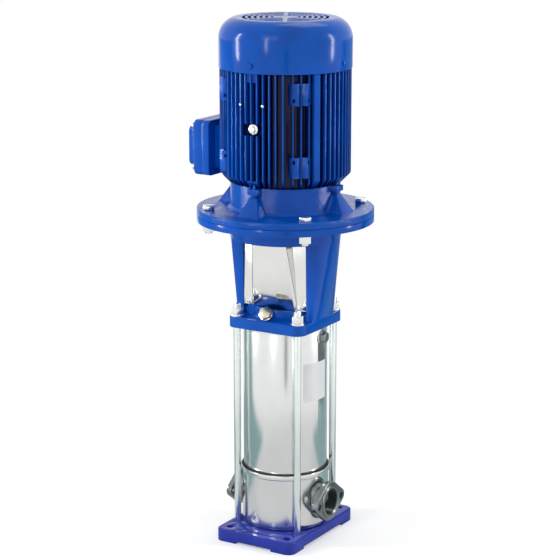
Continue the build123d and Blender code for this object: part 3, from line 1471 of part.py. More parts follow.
with BuildPart() as cable_plugs:
    with BuildSketch(Plane.XY.offset(box_bottom_level)):
        with Locations((-box_back + cable_plug_inset, 0)):
            with GridLocations(1, cable_plug_spacing, 1, 2):
                RegularPolygon(cable_plug_across_flats / 2, 6, major_radius=False, rotation=30)
    extrude(amount=-cable_plug_head)
    with BuildSketch(Plane.XY.offset(box_bottom_level)):
        with Locations((-box_back + cable_plug_inset, 0)):
            with GridLocations(1, cable_plug_spacing, 1, 2):
                Circle(cable_plug_radius)
    extrude(amount=cable_plug_depth)
save(cable_plugs.part, "cable_plugs")
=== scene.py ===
"""Finishes, rounded castings and small details of a vertical multistage pump, on its fixed frame."""
import json
import logging
import math
from dataclasses import dataclass
from enum import Enum
from typing import Dict, Iterable, List, Optional, Sequence, Tuple, Union

import bpy
from mathutils import Matrix, Vector

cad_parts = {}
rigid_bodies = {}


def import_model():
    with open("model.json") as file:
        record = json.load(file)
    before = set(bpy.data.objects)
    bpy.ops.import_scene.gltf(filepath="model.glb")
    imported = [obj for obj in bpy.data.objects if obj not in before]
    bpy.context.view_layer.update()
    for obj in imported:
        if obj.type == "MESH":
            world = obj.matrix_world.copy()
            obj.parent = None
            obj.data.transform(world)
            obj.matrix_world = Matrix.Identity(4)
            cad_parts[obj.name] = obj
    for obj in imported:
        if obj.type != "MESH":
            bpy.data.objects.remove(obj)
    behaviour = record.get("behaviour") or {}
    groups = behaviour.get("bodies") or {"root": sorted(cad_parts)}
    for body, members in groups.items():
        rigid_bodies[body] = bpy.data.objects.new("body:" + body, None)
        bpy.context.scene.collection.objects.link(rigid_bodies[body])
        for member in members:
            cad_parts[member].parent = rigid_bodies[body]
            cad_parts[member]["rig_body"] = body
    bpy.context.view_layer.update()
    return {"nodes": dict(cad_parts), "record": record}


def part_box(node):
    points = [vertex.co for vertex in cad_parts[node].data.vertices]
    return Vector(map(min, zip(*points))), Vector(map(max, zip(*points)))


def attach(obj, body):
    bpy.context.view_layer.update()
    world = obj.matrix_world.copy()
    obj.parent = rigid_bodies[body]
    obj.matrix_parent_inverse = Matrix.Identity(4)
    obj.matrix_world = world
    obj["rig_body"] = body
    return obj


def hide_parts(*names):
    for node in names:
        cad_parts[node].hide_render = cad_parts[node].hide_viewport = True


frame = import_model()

LOG = logging.getLogger("pump")
MM = 0.001
WELD = 0.000002            # points closer than this are one
FLAT_ANGLE = 0.6           # facets that differ by less, in degrees, are one face
FINE_SMOOTHING = 35.0      # edges sharper than this stay sharp on small pieces
CAST_SMOOTHING = 40.0      # and on castings
WHITE = (1.0, 1.0, 1.0, 1.0)

Colour = Tuple[float, float, float]
Point = Tuple[float, float, float]


# ---------------------------------------------------------------- shader tools
class Signal:
    """One output socket of a shader tree, with arithmetic that adds Math nodes."""

    def __init__(self, shader: "Tree", socket: bpy.types.NodeSocket) -> None:
        """Wrap a socket.

        Args:
            shader: The tree that the socket belongs to.
            socket: The output socket.
        """
        self.shader = shader
        self.socket = socket

    def _math(self, operation: str, left: "Value", right: "Value") -> "Signal":
        """One Math node on two values."""
        return self.shader.node("ShaderNodeMath", {"operation": operation}, {0: left, 1: right})

    def __add__(self, other: "Value") -> "Signal":
        """Sum."""
        return self._math("ADD", self, other)

    __radd__ = __add__

    def __sub__(self, other: "Value") -> "Signal":
        """Difference."""
        return self._math("SUBTRACT", self, other)

    def __rsub__(self, other: "Value") -> "Signal":
        """Difference from a number."""
        return self._math("SUBTRACT", other, self)

    def __mul__(self, other: "Value") -> "Signal":
        """Product."""
        return self._math("MULTIPLY", self, other)

    __rmul__ = __mul__

    def __pow__(self, other: "Value") -> "Signal":
        """Power."""
        return self._math("POWER", self, other)

    def either(self, other: "Value") -> "Signal":
        """The larger of two values."""
        return self._math("MAXIMUM", self, other)

    def ramp(self, low: float, high: float) -> "Signal":
        """A smooth step from 0 at low to 1 at high.

        Args:
            low: Value that gives 0.
            high: Value that gives 1.

        Returns:
            The stepped signal.
        """
        return self.shader.node(
            "ShaderNodeMapRange", {"interpolation_type": "SMOOTHSTEP"},
            {"Value": self, "From Min": low, "From Max": high})


Value = Union[Signal, float, int]


class Tree:
    """A tree of shader nodes."""

    def __init__(self, tree: bpy.types.NodeTree) -> None:
        """Start with an empty tree.

        Args:
            tree: The tree of a world or a material.
        """
        self.tree = tree
        self.tree.nodes.clear()

    def node(self, kind: str, settings: Optional[dict] = None, inputs: Optional[dict] = None,
             output: Union[int, str, None] = 0) -> Optional[Signal]:
        """Add one node.

        Args:
            kind: Type of the node.
            settings: Properties that are set first; "stops" holds a ramp's positions and colours.
            inputs: Values or signals of its sockets, by name or number.
            output: The socket that the signal stands for, or None for a node that has none.

        Returns:
            The chosen output socket.
        """
        made = self.tree.nodes.new(kind)
        for key, value in (settings or {}).items():
            if key == "stops":
                for spot, (position, colour) in enumerate(value):
                    stops = made.color_ramp.elements
                    stop = stops[spot] if spot < len(stops) else stops.new(position)
                    stop.position = position
                    stop.color = (*colour, 1.0)
            else:
                setattr(made, key, value)
        for key, value in (inputs or {}).items():
            if isinstance(value, Signal):
                self.tree.links.new(value.socket, made.inputs[key])
            else:
                made.inputs[key].default_value = value
        return None if output is None else Signal(self, made.outputs[output])

    def ray(self, kind: str) -> Signal:
        """Whether a ray is of one kind, by the name of its Light Path output."""
        return self.node("ShaderNodeLightPath", output=kind)


class Shader(Tree):
    """The tree of one material."""

    def __init__(self, name: str) -> None:
        """Start a material with an empty tree.

        Args:
            name: Name of the material.
        """
        self.material = bpy.data.materials.new(name)
        self.material.use_nodes = True
        super().__init__(self.material.node_tree)
        self.place = self.node("ShaderNodeTexCoord", output="Object")

    def noise(self, scale: float, detail: float = 2.0, stretch: Point = (1.0, 1.0, 1.0),
              distortion: float = 0.0) -> Signal:
        """Noise over the piece.

        Args:
            scale: Patches per metre.
            detail: Octaves.
            stretch: Factors along the three axes, large where the pattern is short.
            distortion: How far the pattern is swirled.

        Returns:
            The noise, about 0.5 on average.
        """
        place = self.node("ShaderNodeMapping", {"vector_type": "POINT"},
                          {"Vector": self.place, "Scale": stretch})
        return self.node("ShaderNodeTexNoise", None,
                         {"Vector": place, "Scale": scale, "Detail": detail, "Distortion": distortion})

    def radius(self, centre: Point, axis: Point) -> Signal:
        """Distance of each point from a line along one axis.

        Args:
            centre: A point on the line.
            axis: 0 along the line's axis and 1 along the other two.

        Returns:
            The distance in metres.
        """
        moved = self.node("ShaderNodeVectorMath", {"operation": "SUBTRACT"}, {0: self.place, 1: centre})
        flat = self.node("ShaderNodeVectorMath", {"operation": "MULTIPLY"}, {0: moved, 1: axis})
        return self.node("ShaderNodeVectorMath", {"operation": "LENGTH"}, {0: flat}, "Value")

    def blend(self, factor: Value, first: Union[Colour, Signal], second: Union[Colour, Signal]) -> Signal:
        """Mix two colours.

        Args:
            factor: 0 for the first, 1 for the second.
            first: A colour or a signal.
            second: A colour or a signal.

        Returns:
            The mixed colour.
        """
        sides = [side if isinstance(side, Signal) else (*side, 1.0) for side in (first, second)]
        return self.node("ShaderNodeMix", {"data_type": "RGBA"}, {0: factor, 6: sides[0], 7: sides[1]}, 2)

    def bump(self, height: Signal, depth: float) -> Signal:
        """Turn a height into a normal.

        Args:
            height: The height, from 0 to 1.
            depth: Depth of a full step, in metres.

        Returns:
            The normal.
        """
        return self.node("ShaderNodeBump", None, {"Strength": 1.0, "Distance": depth, "Height": height})

    def surface(self, **sockets: Value) -> bpy.types.Material:
        """Close the tree with a principled shader.

        Args:
            sockets: Values by socket name, with underscores for spaces.

        Returns:
            The finished material.
        """
        named = {key.replace("_", " "): value for key, value in sockets.items()}
        return self.finish(self.node("ShaderNodeBsdfPrincipled", None, named))

    def finish(self, surface: Signal) -> bpy.types.Material:
        """Join a shader to the output.

        Args:
            surface: The shader.

        Returns:
            The finished material.
        """
        self.node("ShaderNodeOutputMaterial", None, {"Surface": surface}, None)
        return self.material


# ---------------------------------------------------------------- finishes
@dataclass(frozen=True)
class Enamel:
    """Sprayed gloss enamel on a casting or on pressed sheet."""

    name: str
    colour: Colour
    thin: Colour
    roughness: float = 0.2
    peel: float = 0.00003
    grain: float = 0.0
    grain_scale: float = 900.0
    sheen: float = 0.22
    hollow: Optional[Tuple[float, float]] = None    # painted shade: radii between which the paint turns dark, as shade down between the fins
    hollow_colour: Colour = (0.0, 0.006, 0.10)
    drift_scale: float = 14.0
    drift_spread: float = 0.08
    peel_scale: float = 240.0
    dust_scale: float = 2600.0
    dust_spread: float = 0.12

    def build(self) -> bpy.types.Material:
        """Make the material.

        Returns:
            The material.
        """
        shader = Shader(self.name)
        drift = shader.noise(self.drift_scale, 3.0)
        peel = shader.noise(self.peel_scale, 1.0)
        grain = shader.noise(self.grain_scale, 3.0)
        dust = shader.noise(self.dust_scale, 1.0).ramp(0.66, 0.78)
        colour = shader.blend(drift.ramp(0.35, 0.7), self.thin, self.colour)
        if self.hollow:
            # painted shade: the paint darkens towards the fin roots, where shade falls between the fins
            depth = shader.radius((0.0, 0.0, 0.0), (1.0, 1.0, 0.0)).ramp(*self.hollow)
            colour = shader.blend(depth, self.hollow_colour, colour)
        height = peel * self.peel + grain * self.grain
        return shader.surface(
            Base_Color=colour,
            Roughness=drift * self.drift_spread + dust * self.dust_spread
            + (self.roughness - self.drift_spread / 2),
            Normal=shader.bump(height, 1.0),
            Specular_IOR_Level=self.sheen)


class Grain(Enum):
    """Direction of the fine lines that working leaves in metal."""

    TURNED = (6.0, 6.0, 1500.0)
    DRAWN = (1500.0, 1500.0, 6.0)
    CAST = (700.0, 700.0, 700.0)


@dataclass(frozen=True)
class Metal:
    """Bare, plated or polished metal."""

    name: str
    colour: Colour
    dull: Colour
    roughness: float
    grain: Grain = Grain.CAST
    depth: float = 0.000004
    spread: float = 0.06
    bore: Optional[Tuple[float, float]] = None      # height and radius of a bore along X, painted dark inside as its shade
    bore_colour: Colour = (0.03, 0.035, 0.04)
    bore_edge: float = 0.94
    cloud_scale: float = 22.0
    cloud_share: float = 0.6

    def build(self) -> bpy.types.Material:
        """Make the material.

        Returns:
            The material.
        """
        shader = Shader(self.name)
        cloud = shader.noise(self.cloud_scale, 3.0)
        lines = shader.noise(1.0, 3.0, self.grain.value)
        tone = cloud * self.cloud_share + lines * (1.0 - self.cloud_share)
        colour = shader.blend(tone.ramp(0.3, 0.7), self.dull, self.colour)
        if self.bore:
            height, width = self.bore
            # painted shade: inside the bore the colour turns dark, where shade falls in the hole
            inside = shader.radius((0.0, 0.0, height), (0.0, 1.0, 1.0)).ramp(width, width * self.bore_edge)
            colour = shader.blend(inside, colour, self.bore_colour)
        return shader.surface(
            Base_Color=colour,
            Metallic=1.0,
            Roughness=lines * self.spread + cloud * self.spread + (self.roughness - self.spread),
            Normal=shader.bump(lines, self.depth))


@dataclass(frozen=True)
class Moulded:
    """Rubber, plastic or another part that comes out of a mould."""

    name: str
    colour: Colour
    worn: Colour
    roughness: float
    depth: float = 0.00002
    scale: float = 1200.0

    def build(self) -> bpy.types.Material:
        """Make the material.

        Returns:
            The material.
        """
        shader = Shader(self.name)
        cloud = shader.noise(30.0, 3.0)
        fine = shader.noise(self.scale, 2.0)
        return shader.surface(
            Base_Color=shader.blend(cloud.ramp(0.35, 0.75), self.colour, self.worn),
            Roughness=cloud * 0.12 + fine * 0.08 + (self.roughness - 0.1),
            Normal=shader.bump(fine, self.depth))


@dataclass(frozen=True)
class Stacked:
    """Thin sheets pressed into a core, one lying on the other."""

    name: str
    colour: Colour
    seam: Colour
    pitch: float = 0.0012

    def build(self) -> bpy.types.Material:
        """Make the material.

        Returns:
            The material.
        """
        shader = Shader(self.name)
        wave = shader.node(
            "ShaderNodeTexWave", {"wave_type": "BANDS", "bands_direction": "Z"},
            {"Vector": shader.place, "Scale": 0.314 / self.pitch, "Distortion": 0.0}, 1)
        cloud = shader.noise(40.0, 3.0)
        return shader.surface(
            Base_Color=shader.blend(wave.ramp(0.2, 0.6), self.seam, self.colour),
            Metallic=0.8,
            Roughness=cloud * 0.2 + 0.35,
            Normal=shader.bump(wave, 0.0001))


Finish = Union[Enamel, Metal, Moulded, Stacked]

BLUE = (0.0, 0.096, 0.53)
THIN_BLUE = (0.0, 0.074, 0.43)
VIOLET_BLUE = (0.03, 0.052, 0.43)
THIN_VIOLET = (0.022, 0.040, 0.35)


class Finishes:
    """Every finish by its slot, built once."""

    TABLE: Dict[str, Finish] = {
        "base_paint": Enamel("violet_blue_enamel", VIOLET_BLUE, THIN_VIOLET, roughness=0.14, grain=0.00002),
        "blue_paint": Enamel("blue_enamel", BLUE, THIN_BLUE, roughness=0.15, peel=0.00005, grain=0.00001),
        # painted shade darkens the gaps between the motor's fins
        "finned_paint": Enamel("finned_enamel", BLUE, THIN_BLUE, roughness=0.16, peel=0.00005,
                               grain=0.00004, hollow=(0.0975, 0.1096)),
        "rough_cast_paint": Enamel("rough_cast_enamel", BLUE, THIN_BLUE, roughness=0.15, peel=0.00006,
                                   grain=0.00045, grain_scale=380.0),
        "rod_steel": Metal("drawn_rod", (0.88, 0.94, 0.92), (0.80, 0.87, 0.85), 0.24, Grain.DRAWN),
        "zinc_steel": Metal("bright_zinc", (0.86, 0.87, 0.86), (0.70, 0.71, 0.70), 0.24),
        "drawn_stainless": Metal("satin_stainless", (0.80, 0.81, 0.805), (0.755, 0.77, 0.765), 0.2,
                                 Grain.TURNED, depth=0.0000012, spread=0.04),
        # painted shade and reflection: the ports' colour is set far darker than bare stainless, and their
        # bore is painted dark
        "port_stainless": Metal("machined_stainless", (0.30, 0.33, 0.33), (0.15, 0.17, 0.17), 0.24,
                                bore=(0.068, 0.0228)),
        "polished_stainless": Metal("polished_sheet", (0.78, 0.78, 0.75), (0.74, 0.74, 0.71), 0.1,
                                    Grain.DRAWN, depth=0.000001, spread=0.03),
        "plug_brass": Metal("nickelled_brass", (0.72, 0.66, 0.52), (0.55, 0.50, 0.40), 0.25),
        "plug_steel": Metal("dark_plug_steel", (0.30, 0.31, 0.31), (0.18, 0.19, 0.19), 0.34),
        "stage_steel": Metal("pressed_stainless", (0.62, 0.62, 0.61), (0.50, 0.50, 0.49), 0.3,
                             Grain.TURNED),
        "shaft_steel": Metal("ground_shaft", (0.64, 0.64, 0.63), (0.5, 0.5, 0.5), 0.2, Grain.TURNED),
        "bearing_steel": Metal("bearing_steel", (0.7, 0.7, 0.7), (0.6, 0.6, 0.6), 0.12, Grain.TURNED),
        "ceramic": Moulded("lapped_ceramic", (0.10, 0.10, 0.10), (0.14, 0.14, 0.14), 0.3, depth=0.000002),
        "rubber": Moulded("black_rubber", (0.015, 0.015, 0.016), (0.03, 0.03, 0.03), 0.6),
        "wear_plastic": Moulded("wear_plastic", (0.70, 0.69, 0.62), (0.6, 0.58, 0.5), 0.45),
        "coupling_iron": Metal("coupling_iron", (0.26, 0.26, 0.26), (0.15, 0.15, 0.15), 0.4,
                               Grain.TURNED, depth=0.00001),
        "core_steel": Stacked("laminated_core", (0.30, 0.30, 0.31), (0.08, 0.08, 0.09)),
        "copper": Metal("enamelled_copper", (0.62, 0.27, 0.10), (0.40, 0.15, 0.05), 0.3, depth=0.0002),
        "fan_plastic": Moulded("fan_plastic", (0.03, 0.03, 0.035), (0.05, 0.05, 0.055), 0.45),
        "label_paper": Moulded("label_paper", (0.84, 0.85, 0.87), (0.78, 0.79, 0.82), 0.42,
                               depth=0.000004, scale=700.0),
    }

    def __init__(self) -> None:
        """Start with nothing built."""
        self.made: Dict[str, bpy.types.Material] = {}

    def get(self, slot: str) -> bpy.types.Material:
        """The material of a slot.

        Args:
            slot: Name of the slot in the record.

        Returns:
            The material, built at the first call.
        """
        if slot not in self.made:
            self.made[slot] = self.TABLE[slot].build()
        return self.made[slot]

    def dress(self, piece: bpy.types.Object, slot: str, finish: Optional[str] = None) -> None:
        """Give a piece one finish, its slot's unless it has one of its own.

        Args:
            piece: The object.
            slot: The slot in the record.
            finish: A finish of its own, where it differs from its slot's.
        """
        piece.data.materials.clear()
        piece.data.materials.append(self.get(finish or slot))


# ---------------------------------------------------------------- mesh tools
class Bench:
    """Modelling steps shared by the sub-assemblies."""

    @staticmethod
    def clear() -> None:
        """Leave edit mode and select nothing."""
        if bpy.context.object and bpy.context.object.mode != "OBJECT":
            bpy.ops.object.mode_set(mode="OBJECT")
        bpy.ops.object.select_all(action="DESELECT")

    @staticmethod
    def pick(piece: bpy.types.Object) -> None:
        """Select one piece and make it active.

        Args:
            piece: The object.
        """
        Bench.clear()
        piece.hide_viewport = False
        piece.select_set(True)
        bpy.context.view_layer.objects.active = piece

    @staticmethod
    def apply(piece: bpy.types.Object, kind: str, **settings: object) -> None:
        """Add a modifier and apply it.

        Args:
            piece: The object.
            kind: Type of the modifier.
            settings: Its properties.
        """
        modifier = piece.modifiers.new(kind.lower(), kind)
        for key, value in settings.items():
            setattr(modifier, key, value)
        Bench.pick(piece)
        bpy.ops.object.modifier_apply(modifier=modifier.name)

    @staticmethod
    def smooth(piece: bpy.types.Object, angle: float) -> None:
        """Shade a piece smooth, with sharp edges above an angle.

        Args:
            piece: The object.
            angle: The angle, in degrees.
        """
        Bench.pick(piece)
        bpy.ops.object.shade_smooth_by_angle(angle=math.radians(angle))

    @staticmethod
    def copy(piece: bpy.types.Object, place: Matrix, name: str) -> bpy.types.Object:
        """A copy with a mesh of its own.

        Args:
            piece: The object to copy.
            place: How the copy's mesh is moved.
            name: Name of the copy.

        Returns:
            The copy.
        """
        made = bpy.data.objects.new(name, piece.data.copy())
        bpy.context.scene.collection.objects.link(made)
        made.data.transform(place)
        return made

    @staticmethod
    def recast(node: str, width: float, segments: int = 2, angle: float = 32.0) -> bpy.types.Object:
        """A copy of a CAD node with its sharp edges rounded.

        Args:
            node: Name of the node.
            width: Width of the rounding, in millimetres.
            segments: Facets across the rounding.
            angle: Edges sharper than this, in degrees, are rounded.

        Returns:
            The new piece, standing in for the node.
        """
        source = frame["nodes"][node]
        piece = Bench.copy(source, Matrix.Identity(4), f"{node}_cast")
        Bench.pick(piece)
        bpy.ops.mesh.customdata_custom_splitnormals_clear()
        bpy.ops.object.mode_set(mode="EDIT")
        bpy.ops.mesh.select_all(action="SELECT")
        bpy.ops.mesh.remove_doubles(threshold=WELD)
        bpy.ops.mesh.mark_sharp(clear=True)
        bpy.ops.mesh.dissolve_limited(angle_limit=math.radians(FLAT_ANGLE))
        bpy.ops.object.mode_set(mode="OBJECT")
        Bench.apply(piece, "BEVEL", width=width * MM, segments=segments, limit_method="ANGLE",
                    angle_limit=math.radians(angle), use_clamp_overlap=True, harden_normals=False,
                    miter_outer="MITER_ARC")
        Bench.smooth(piece, CAST_SMOOTHING)
        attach(piece, Bench.body(node))
        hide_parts(node)
        return piece

    @staticmethod
    def spun(name: str, profile: Sequence[Tuple[float, float]], steps: int, angle: float = 360.0,
             closed: bool = True) -> bpy.types.Object:
        """A profile of radius and height, turned about the Z axis.

        Args:
            name: Name of the piece.
            profile: Radius and height of each corner, in metres.
            steps: Number of facets.
            angle: How far it is turned, in degrees.
            closed: Whether the last corner joins the first.

        Returns:
            The piece.
        """
        Bench.clear()
        bpy.ops.mesh.primitive_plane_add(size=MM, location=(profile[0][0], 0.0, profile[0][1]))
        piece = bpy.context.object
        piece.name = name
        bpy.ops.object.transform_apply(location=True, rotation=True, scale=True)
        bpy.ops.object.mode_set(mode="EDIT")
        bpy.ops.mesh.select_all(action="SELECT")
        bpy.ops.mesh.merge(type="CENTER")
        corners = list(profile[1:]) + ([profile[0]] if closed else [])
        last = profile[0]
        for corner in corners:
            step = (corner[0] - last[0], 0.0, corner[1] - last[1])
            bpy.ops.mesh.extrude_region_move(TRANSFORM_OT_translate={"value": step})
            last = corner
        bpy.ops.mesh.select_all(action="SELECT")
        bpy.ops.mesh.spin(steps=steps, angle=math.radians(angle), center=(0.0, 0.0, 0.0),
                          axis=(0.0, 0.0, 1.0))
        bpy.ops.mesh.select_all(action="SELECT")
        bpy.ops.mesh.remove_doubles(threshold=WELD)
        bpy.ops.mesh.normals_make_consistent(inside=False)
        bpy.ops.object.mode_set(mode="OBJECT")
        return piece

    @staticmethod
    def copies(piece: bpy.types.Object, places: Iterable[Matrix], name: str) -> bpy.types.Object:
        """Copy one mesh to several places and join the copies.

        Args:
            piece: The first copy, at the origin; it is used up.
            places: Where each copy goes.
            name: Name of the joined piece.

        Returns:
            The joined piece.
        """
        made = [Bench.copy(piece, place, f"{name}_{number}") for number, place in enumerate(places)]
        bpy.data.objects.remove(piece)
        Bench.clear()
        for copy in made:
            copy.select_set(True)
        bpy.context.view_layer.objects.active = made[0]
        bpy.ops.object.join()
        made[0].name = name
        Bench.smooth(made[0], FINE_SMOOTHING)
        return made[0]

    @staticmethod
    def body(node: str) -> str:
        """The CAD body that a node belongs to."""
        return str(frame["nodes"][node]["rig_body"])


# ---------------------------------------------------------------- sub-assemblies
@dataclass
class Castings:
    """Castings, sheets and fasteners whose edges are rounded; each has a width, a slot and a finish."""

    finishes: Finishes
    edges: Tuple[Tuple[str, float, str, Optional[str]], ...] = (
        ("base_plate", 1.0, "base_paint", None),
        ("lantern_bracket", 1.0, "blue_paint", None),
        ("drive_shield", 0.8, "blue_paint", "rough_cast_paint"),
        ("motor_frame", 0.5, "blue_paint", "finned_paint"),
        ("terminal_box", 0.8, "blue_paint", None),
        ("terminal_lid", 0.8, "blue_paint", None),
        ("fan_cover", 0.4, "blue_paint", None),
        ("shield_screws", 0.3, "blue_paint", None),
        ("fan_cover_screws", 0.3, "zinc_steel", "blue_paint"),
        ("cable_plugs", 0.4, "blue_paint", None),
        ("discharge_flange", 0.5, "port_stainless", None),
        ("suction_flange", 0.5, "port_stainless", None),
        ("lower_casing", 0.3, "drawn_stainless", None),
        ("outer_sleeve", 0.2, "drawn_stainless", None),
        ("guard_front", 0.3, "polished_stainless", None),
        ("guard_rear", 0.3, "polished_stainless", None),
        ("tie_rod_nuts", 0.5, "zinc_steel", None),
        ("tie_rod_washers", 0.4, "zinc_steel", None),
        ("tie_rods", 0.5, "rod_steel", None),
        ("flange_bolts", 0.5, "zinc_steel", None),
        ("flange_nuts", 0.5, "zinc_steel", None),
        ("guard_screws", 0.3, "zinc_steel", None),
        ("earth_screw", 0.4, "zinc_steel", None),
        ("lid_screws", 0.3, "zinc_steel", None),
        ("coupling_screws", 0.3, "zinc_steel", None),
        ("coupling_half_front", 0.5, "coupling_iron", None),
        ("coupling_half_rear", 0.5, "coupling_iron", None),
        ("fill_plug", 0.4, "plug_brass", None),
        ("casing_plugs", 0.4, "plug_steel", None),
    )

    def build(self) -> List[bpy.types.Object]:
        """Round the edges of every casting.

        Returns:
            The castings.
        """
        made = []
        for node, width, slot, finish in self.edges:
            piece = Bench.recast(node, width)
            self.finishes.dress(piece, slot, finish)
            LOG.info("casting %s: %d faces", node, len(piece.data.polygons))
            made.append(piece)
        return made


@dataclass
class CarriedOver:
    """CAD nodes that stay as they are and only get a finish."""

    finishes: Finishes

    def build(self) -> None:
        """Dress each node with the finish of its slot in the record."""
        slots = {part["node"]: part["material_slot"] for part in frame["record"]["subparts"]}
        for node, piece in frame["nodes"].items():
            self.finishes.dress(piece, slots[node])
            LOG.info("finish on %s", node)


@dataclass
class Threads:
    """Screw threads on the rod ends and in the pump's ports."""

    finishes: Finishes
    crest_start: float = 0.42   # share of the pitch where a ridge's tip starts
    crest_end: float = 0.58
    backing: float = 0.0003     # how deep the ring's back lies in its carrier
    rod_offset: float = 0.060   # rod axes from the shaft axis, along X and along Y
    rod_pitch: float = 0.00175
    rod_depth: float = 0.0006
    rod_root: float = 0.0002    # roots below the rod's surface
    rod_tip: float = 0.0008     # plain end above the thread
    rod_facets: int = 40
    port_pitch: float = 0.0023
    port_depth: float = 0.0011
    port_root: float = 0.0001   # roots beyond the bore's surface
    port_radius: float = 0.0224
    port_height: float = 0.068
    port_lead: float = 0.002    # plain mouth before the thread
    port_turns: int = 8
    port_facets: int = 72

    def ridges(self, root: float, crest: float, pitch: float, count: int) -> List[Tuple[float, float]]:
        """Profile of a row of ridges that starts at height 0.

        Args:
            root: Radius between the ridges.
            crest: Radius at their tips.
            pitch: Distance from one to the next.
            count: Number of ridges.

        Returns:
            The corners, with a back that lies inside the carrying surface.
        """
        line = [(root, 0.0)]
        for number in range(count):
            line.append((crest, (number + self.crest_start) * pitch))
            line.append((crest, (number + self.crest_end) * pitch))
            line.append((root, (number + 1.0) * pitch))
        back = root - math.copysign(self.backing, crest - root)
        return line + [(back, count * pitch), (back, 0.0)]

    def on_rods(self) -> bpy.types.Object:
        """Cut the four rod ends above their nuts.

        Returns:
            The threads as one piece.
        """
        low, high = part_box("tie_rods")
        nut_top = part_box("tie_rod_nuts")[1].z
        root = (high.x - low.x) / 2 - self.rod_offset - self.rod_root
        count = int((high.z - self.rod_tip - nut_top) / self.rod_pitch)
        profile = self.ridges(root, root + self.rod_depth, self.rod_pitch, count)
        ring = Bench.spun("rod_thread", profile, self.rod_facets)
        sides = (-self.rod_offset, self.rod_offset)
        threads = Bench.copies(ring, [Matrix.Translation((x, y, nut_top)) for x in sides for y in sides],
                               "rod_threads")
        self.finishes.dress(threads, "rod_steel")
        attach(threads, Bench.body("tie_rods"))
        LOG.info("rod threads: %d faces", len(threads.data.polygons))
        return threads

    def in_ports(self) -> List[bpy.types.Object]:
        """Cut the thread of both ports.

        Returns:
            One piece for each port.
        """
        made = []
        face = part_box("discharge_flange")[1].x
        profile = self.ridges(self.port_radius + self.port_root, self.port_radius - self.port_depth,
                              self.port_pitch, self.port_turns)
        first = Bench.spun("port_thread", profile, self.port_facets)
        for node, side in (("discharge_flange", 1.0), ("suction_flange", -1.0)):
            turn = Matrix.Rotation(math.radians(-90.0 * side), 4, "Y")
            place = Matrix.Translation((side * (face - self.port_lead), 0.0, self.port_height)) @ turn
            thread = Bench.copy(first, place, f"{node}_thread")
            Bench.smooth(thread, FINE_SMOOTHING)
            self.finishes.dress(thread, "port_stainless")
            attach(thread, Bench.body(node))
            LOG.info("%s thread: %d faces", node, len(thread.data.polygons))
            made.append(thread)
        bpy.data.objects.remove(first)
        return made

    def build(self) -> List[bpy.types.Object]:
        """All threads, rod ends first."""
        return [self.on_rods()] + self.in_ports()


@dataclass
class Label:
    """A blank paper label that wraps part of the sleeve."""

    finishes: Finishes
    facing: float = 78.0        # its middle, in degrees from -Y towards +X
    spread: float = 44.0        # how far it wraps, in degrees
    low: float = 0.251
    high: float = 0.318
    lift: float = 0.00008       # off the sleeve's surface
    thickness: float = 0.00014
    corner: float = 0.003
    corner_facets: int = 4
    facets: int = 24
    slack: float = 0.1          # degrees that a corner may lie off the sheet's ends

    def round_corners(self, sheet: bpy.types.Object) -> None:
        """Round the corners of a sheet that starts at +X.

        Args:
            sheet: The bent sheet.
        """
        Bench.pick(sheet)
        bpy.ops.object.mode_set(mode="EDIT")
        bpy.ops.mesh.select_all(action="DESELECT")
        bpy.ops.object.mode_set(mode="OBJECT")
        for vertex in sheet.data.vertices:
            turn = abs(math.degrees(math.atan2(vertex.co.y, vertex.co.x)))
            vertex.select = turn < self.slack or abs(turn - self.spread) < self.slack
        bpy.ops.object.mode_set(mode="EDIT")
        bpy.ops.mesh.bevel(affect="VERTICES", offset=self.corner, segments=self.corner_facets)
        bpy.ops.object.mode_set(mode="OBJECT")

    def build(self) -> bpy.types.Object:
        """Cut, bend and place the label.

        Returns:
            The label.
        """
        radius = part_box("outer_sleeve")[1].x + self.lift
        edge = [(radius, self.low), (radius, self.high)]
        sheet = Bench.spun("sleeve_label", edge, self.facets, self.spread, False)
        self.round_corners(sheet)
        turns = [math.atan2(vertex.co.y, vertex.co.x) for vertex in sheet.data.vertices]
        middle = sum(turns) / len(turns)
        sheet.data.transform(Matrix.Rotation(math.radians(self.facing - 90.0) - middle, 4, "Z"))
        Bench.apply(sheet, "SOLIDIFY", thickness=self.thickness, offset=1.0)
        Bench.smooth(sheet, FINE_SMOOTHING)
        sheet.data.materials.clear()
        sheet.data.materials.append(self.finishes.get("label_paper"))
        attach(sheet, Bench.body("outer_sleeve"))
        LOG.info("label: %d faces", len(sheet.data.polygons))
        return sheet


@dataclass
class DrivePins:
    """Two domed pins driven into fins beside the earth screw."""

    finishes: Finishes
    spread: float = 11.25       # degrees to either side of -Y
    height: float = 0.763
    fin_tip: float = 0.110      # radius of the fins
    radius: float = 0.0024
    reach: float = 0.0012       # the dome's height
    dome: Tuple[Tuple[float, float], ...] = ((0.0, 1.0), (0.55, 0.8), (0.9, 0.35))
    rim: float = 0.0002
    neck: float = 0.0008
    depth: float = 0.004
    shank: float = 0.6          # share of the radius
    facets: int = 24

    def build(self) -> bpy.types.Object:
        """Turn one pin and copy it to both fins.

        Returns:
            The pins.
        """
        profile = [(self.radius * across, self.reach * up) for across, up in self.dome]
        shank = self.radius * self.shank
        profile += [(self.radius, -self.rim), (shank, -self.neck), (shank, -self.depth), (0.0, -self.depth)]
        pin = Bench.spun("drive_pin", profile, self.facets, closed=False)
        tip = Matrix.Translation((0.0, -self.fin_tip, self.height))
        lay = Matrix.Rotation(math.radians(90.0), 4, "X")
        places = [Matrix.Rotation(math.radians(turn), 4, "Z") @ tip @ lay
                  for turn in (-self.spread, self.spread)]
        pins = Bench.copies(pin, places, "drive_pins")
        self.finishes.dress(pins, "zinc_steel")
        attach(pins, Bench.body("motor_frame"))
        LOG.info("drive pins: %d faces", len(pins.data.polygons))
        return pins


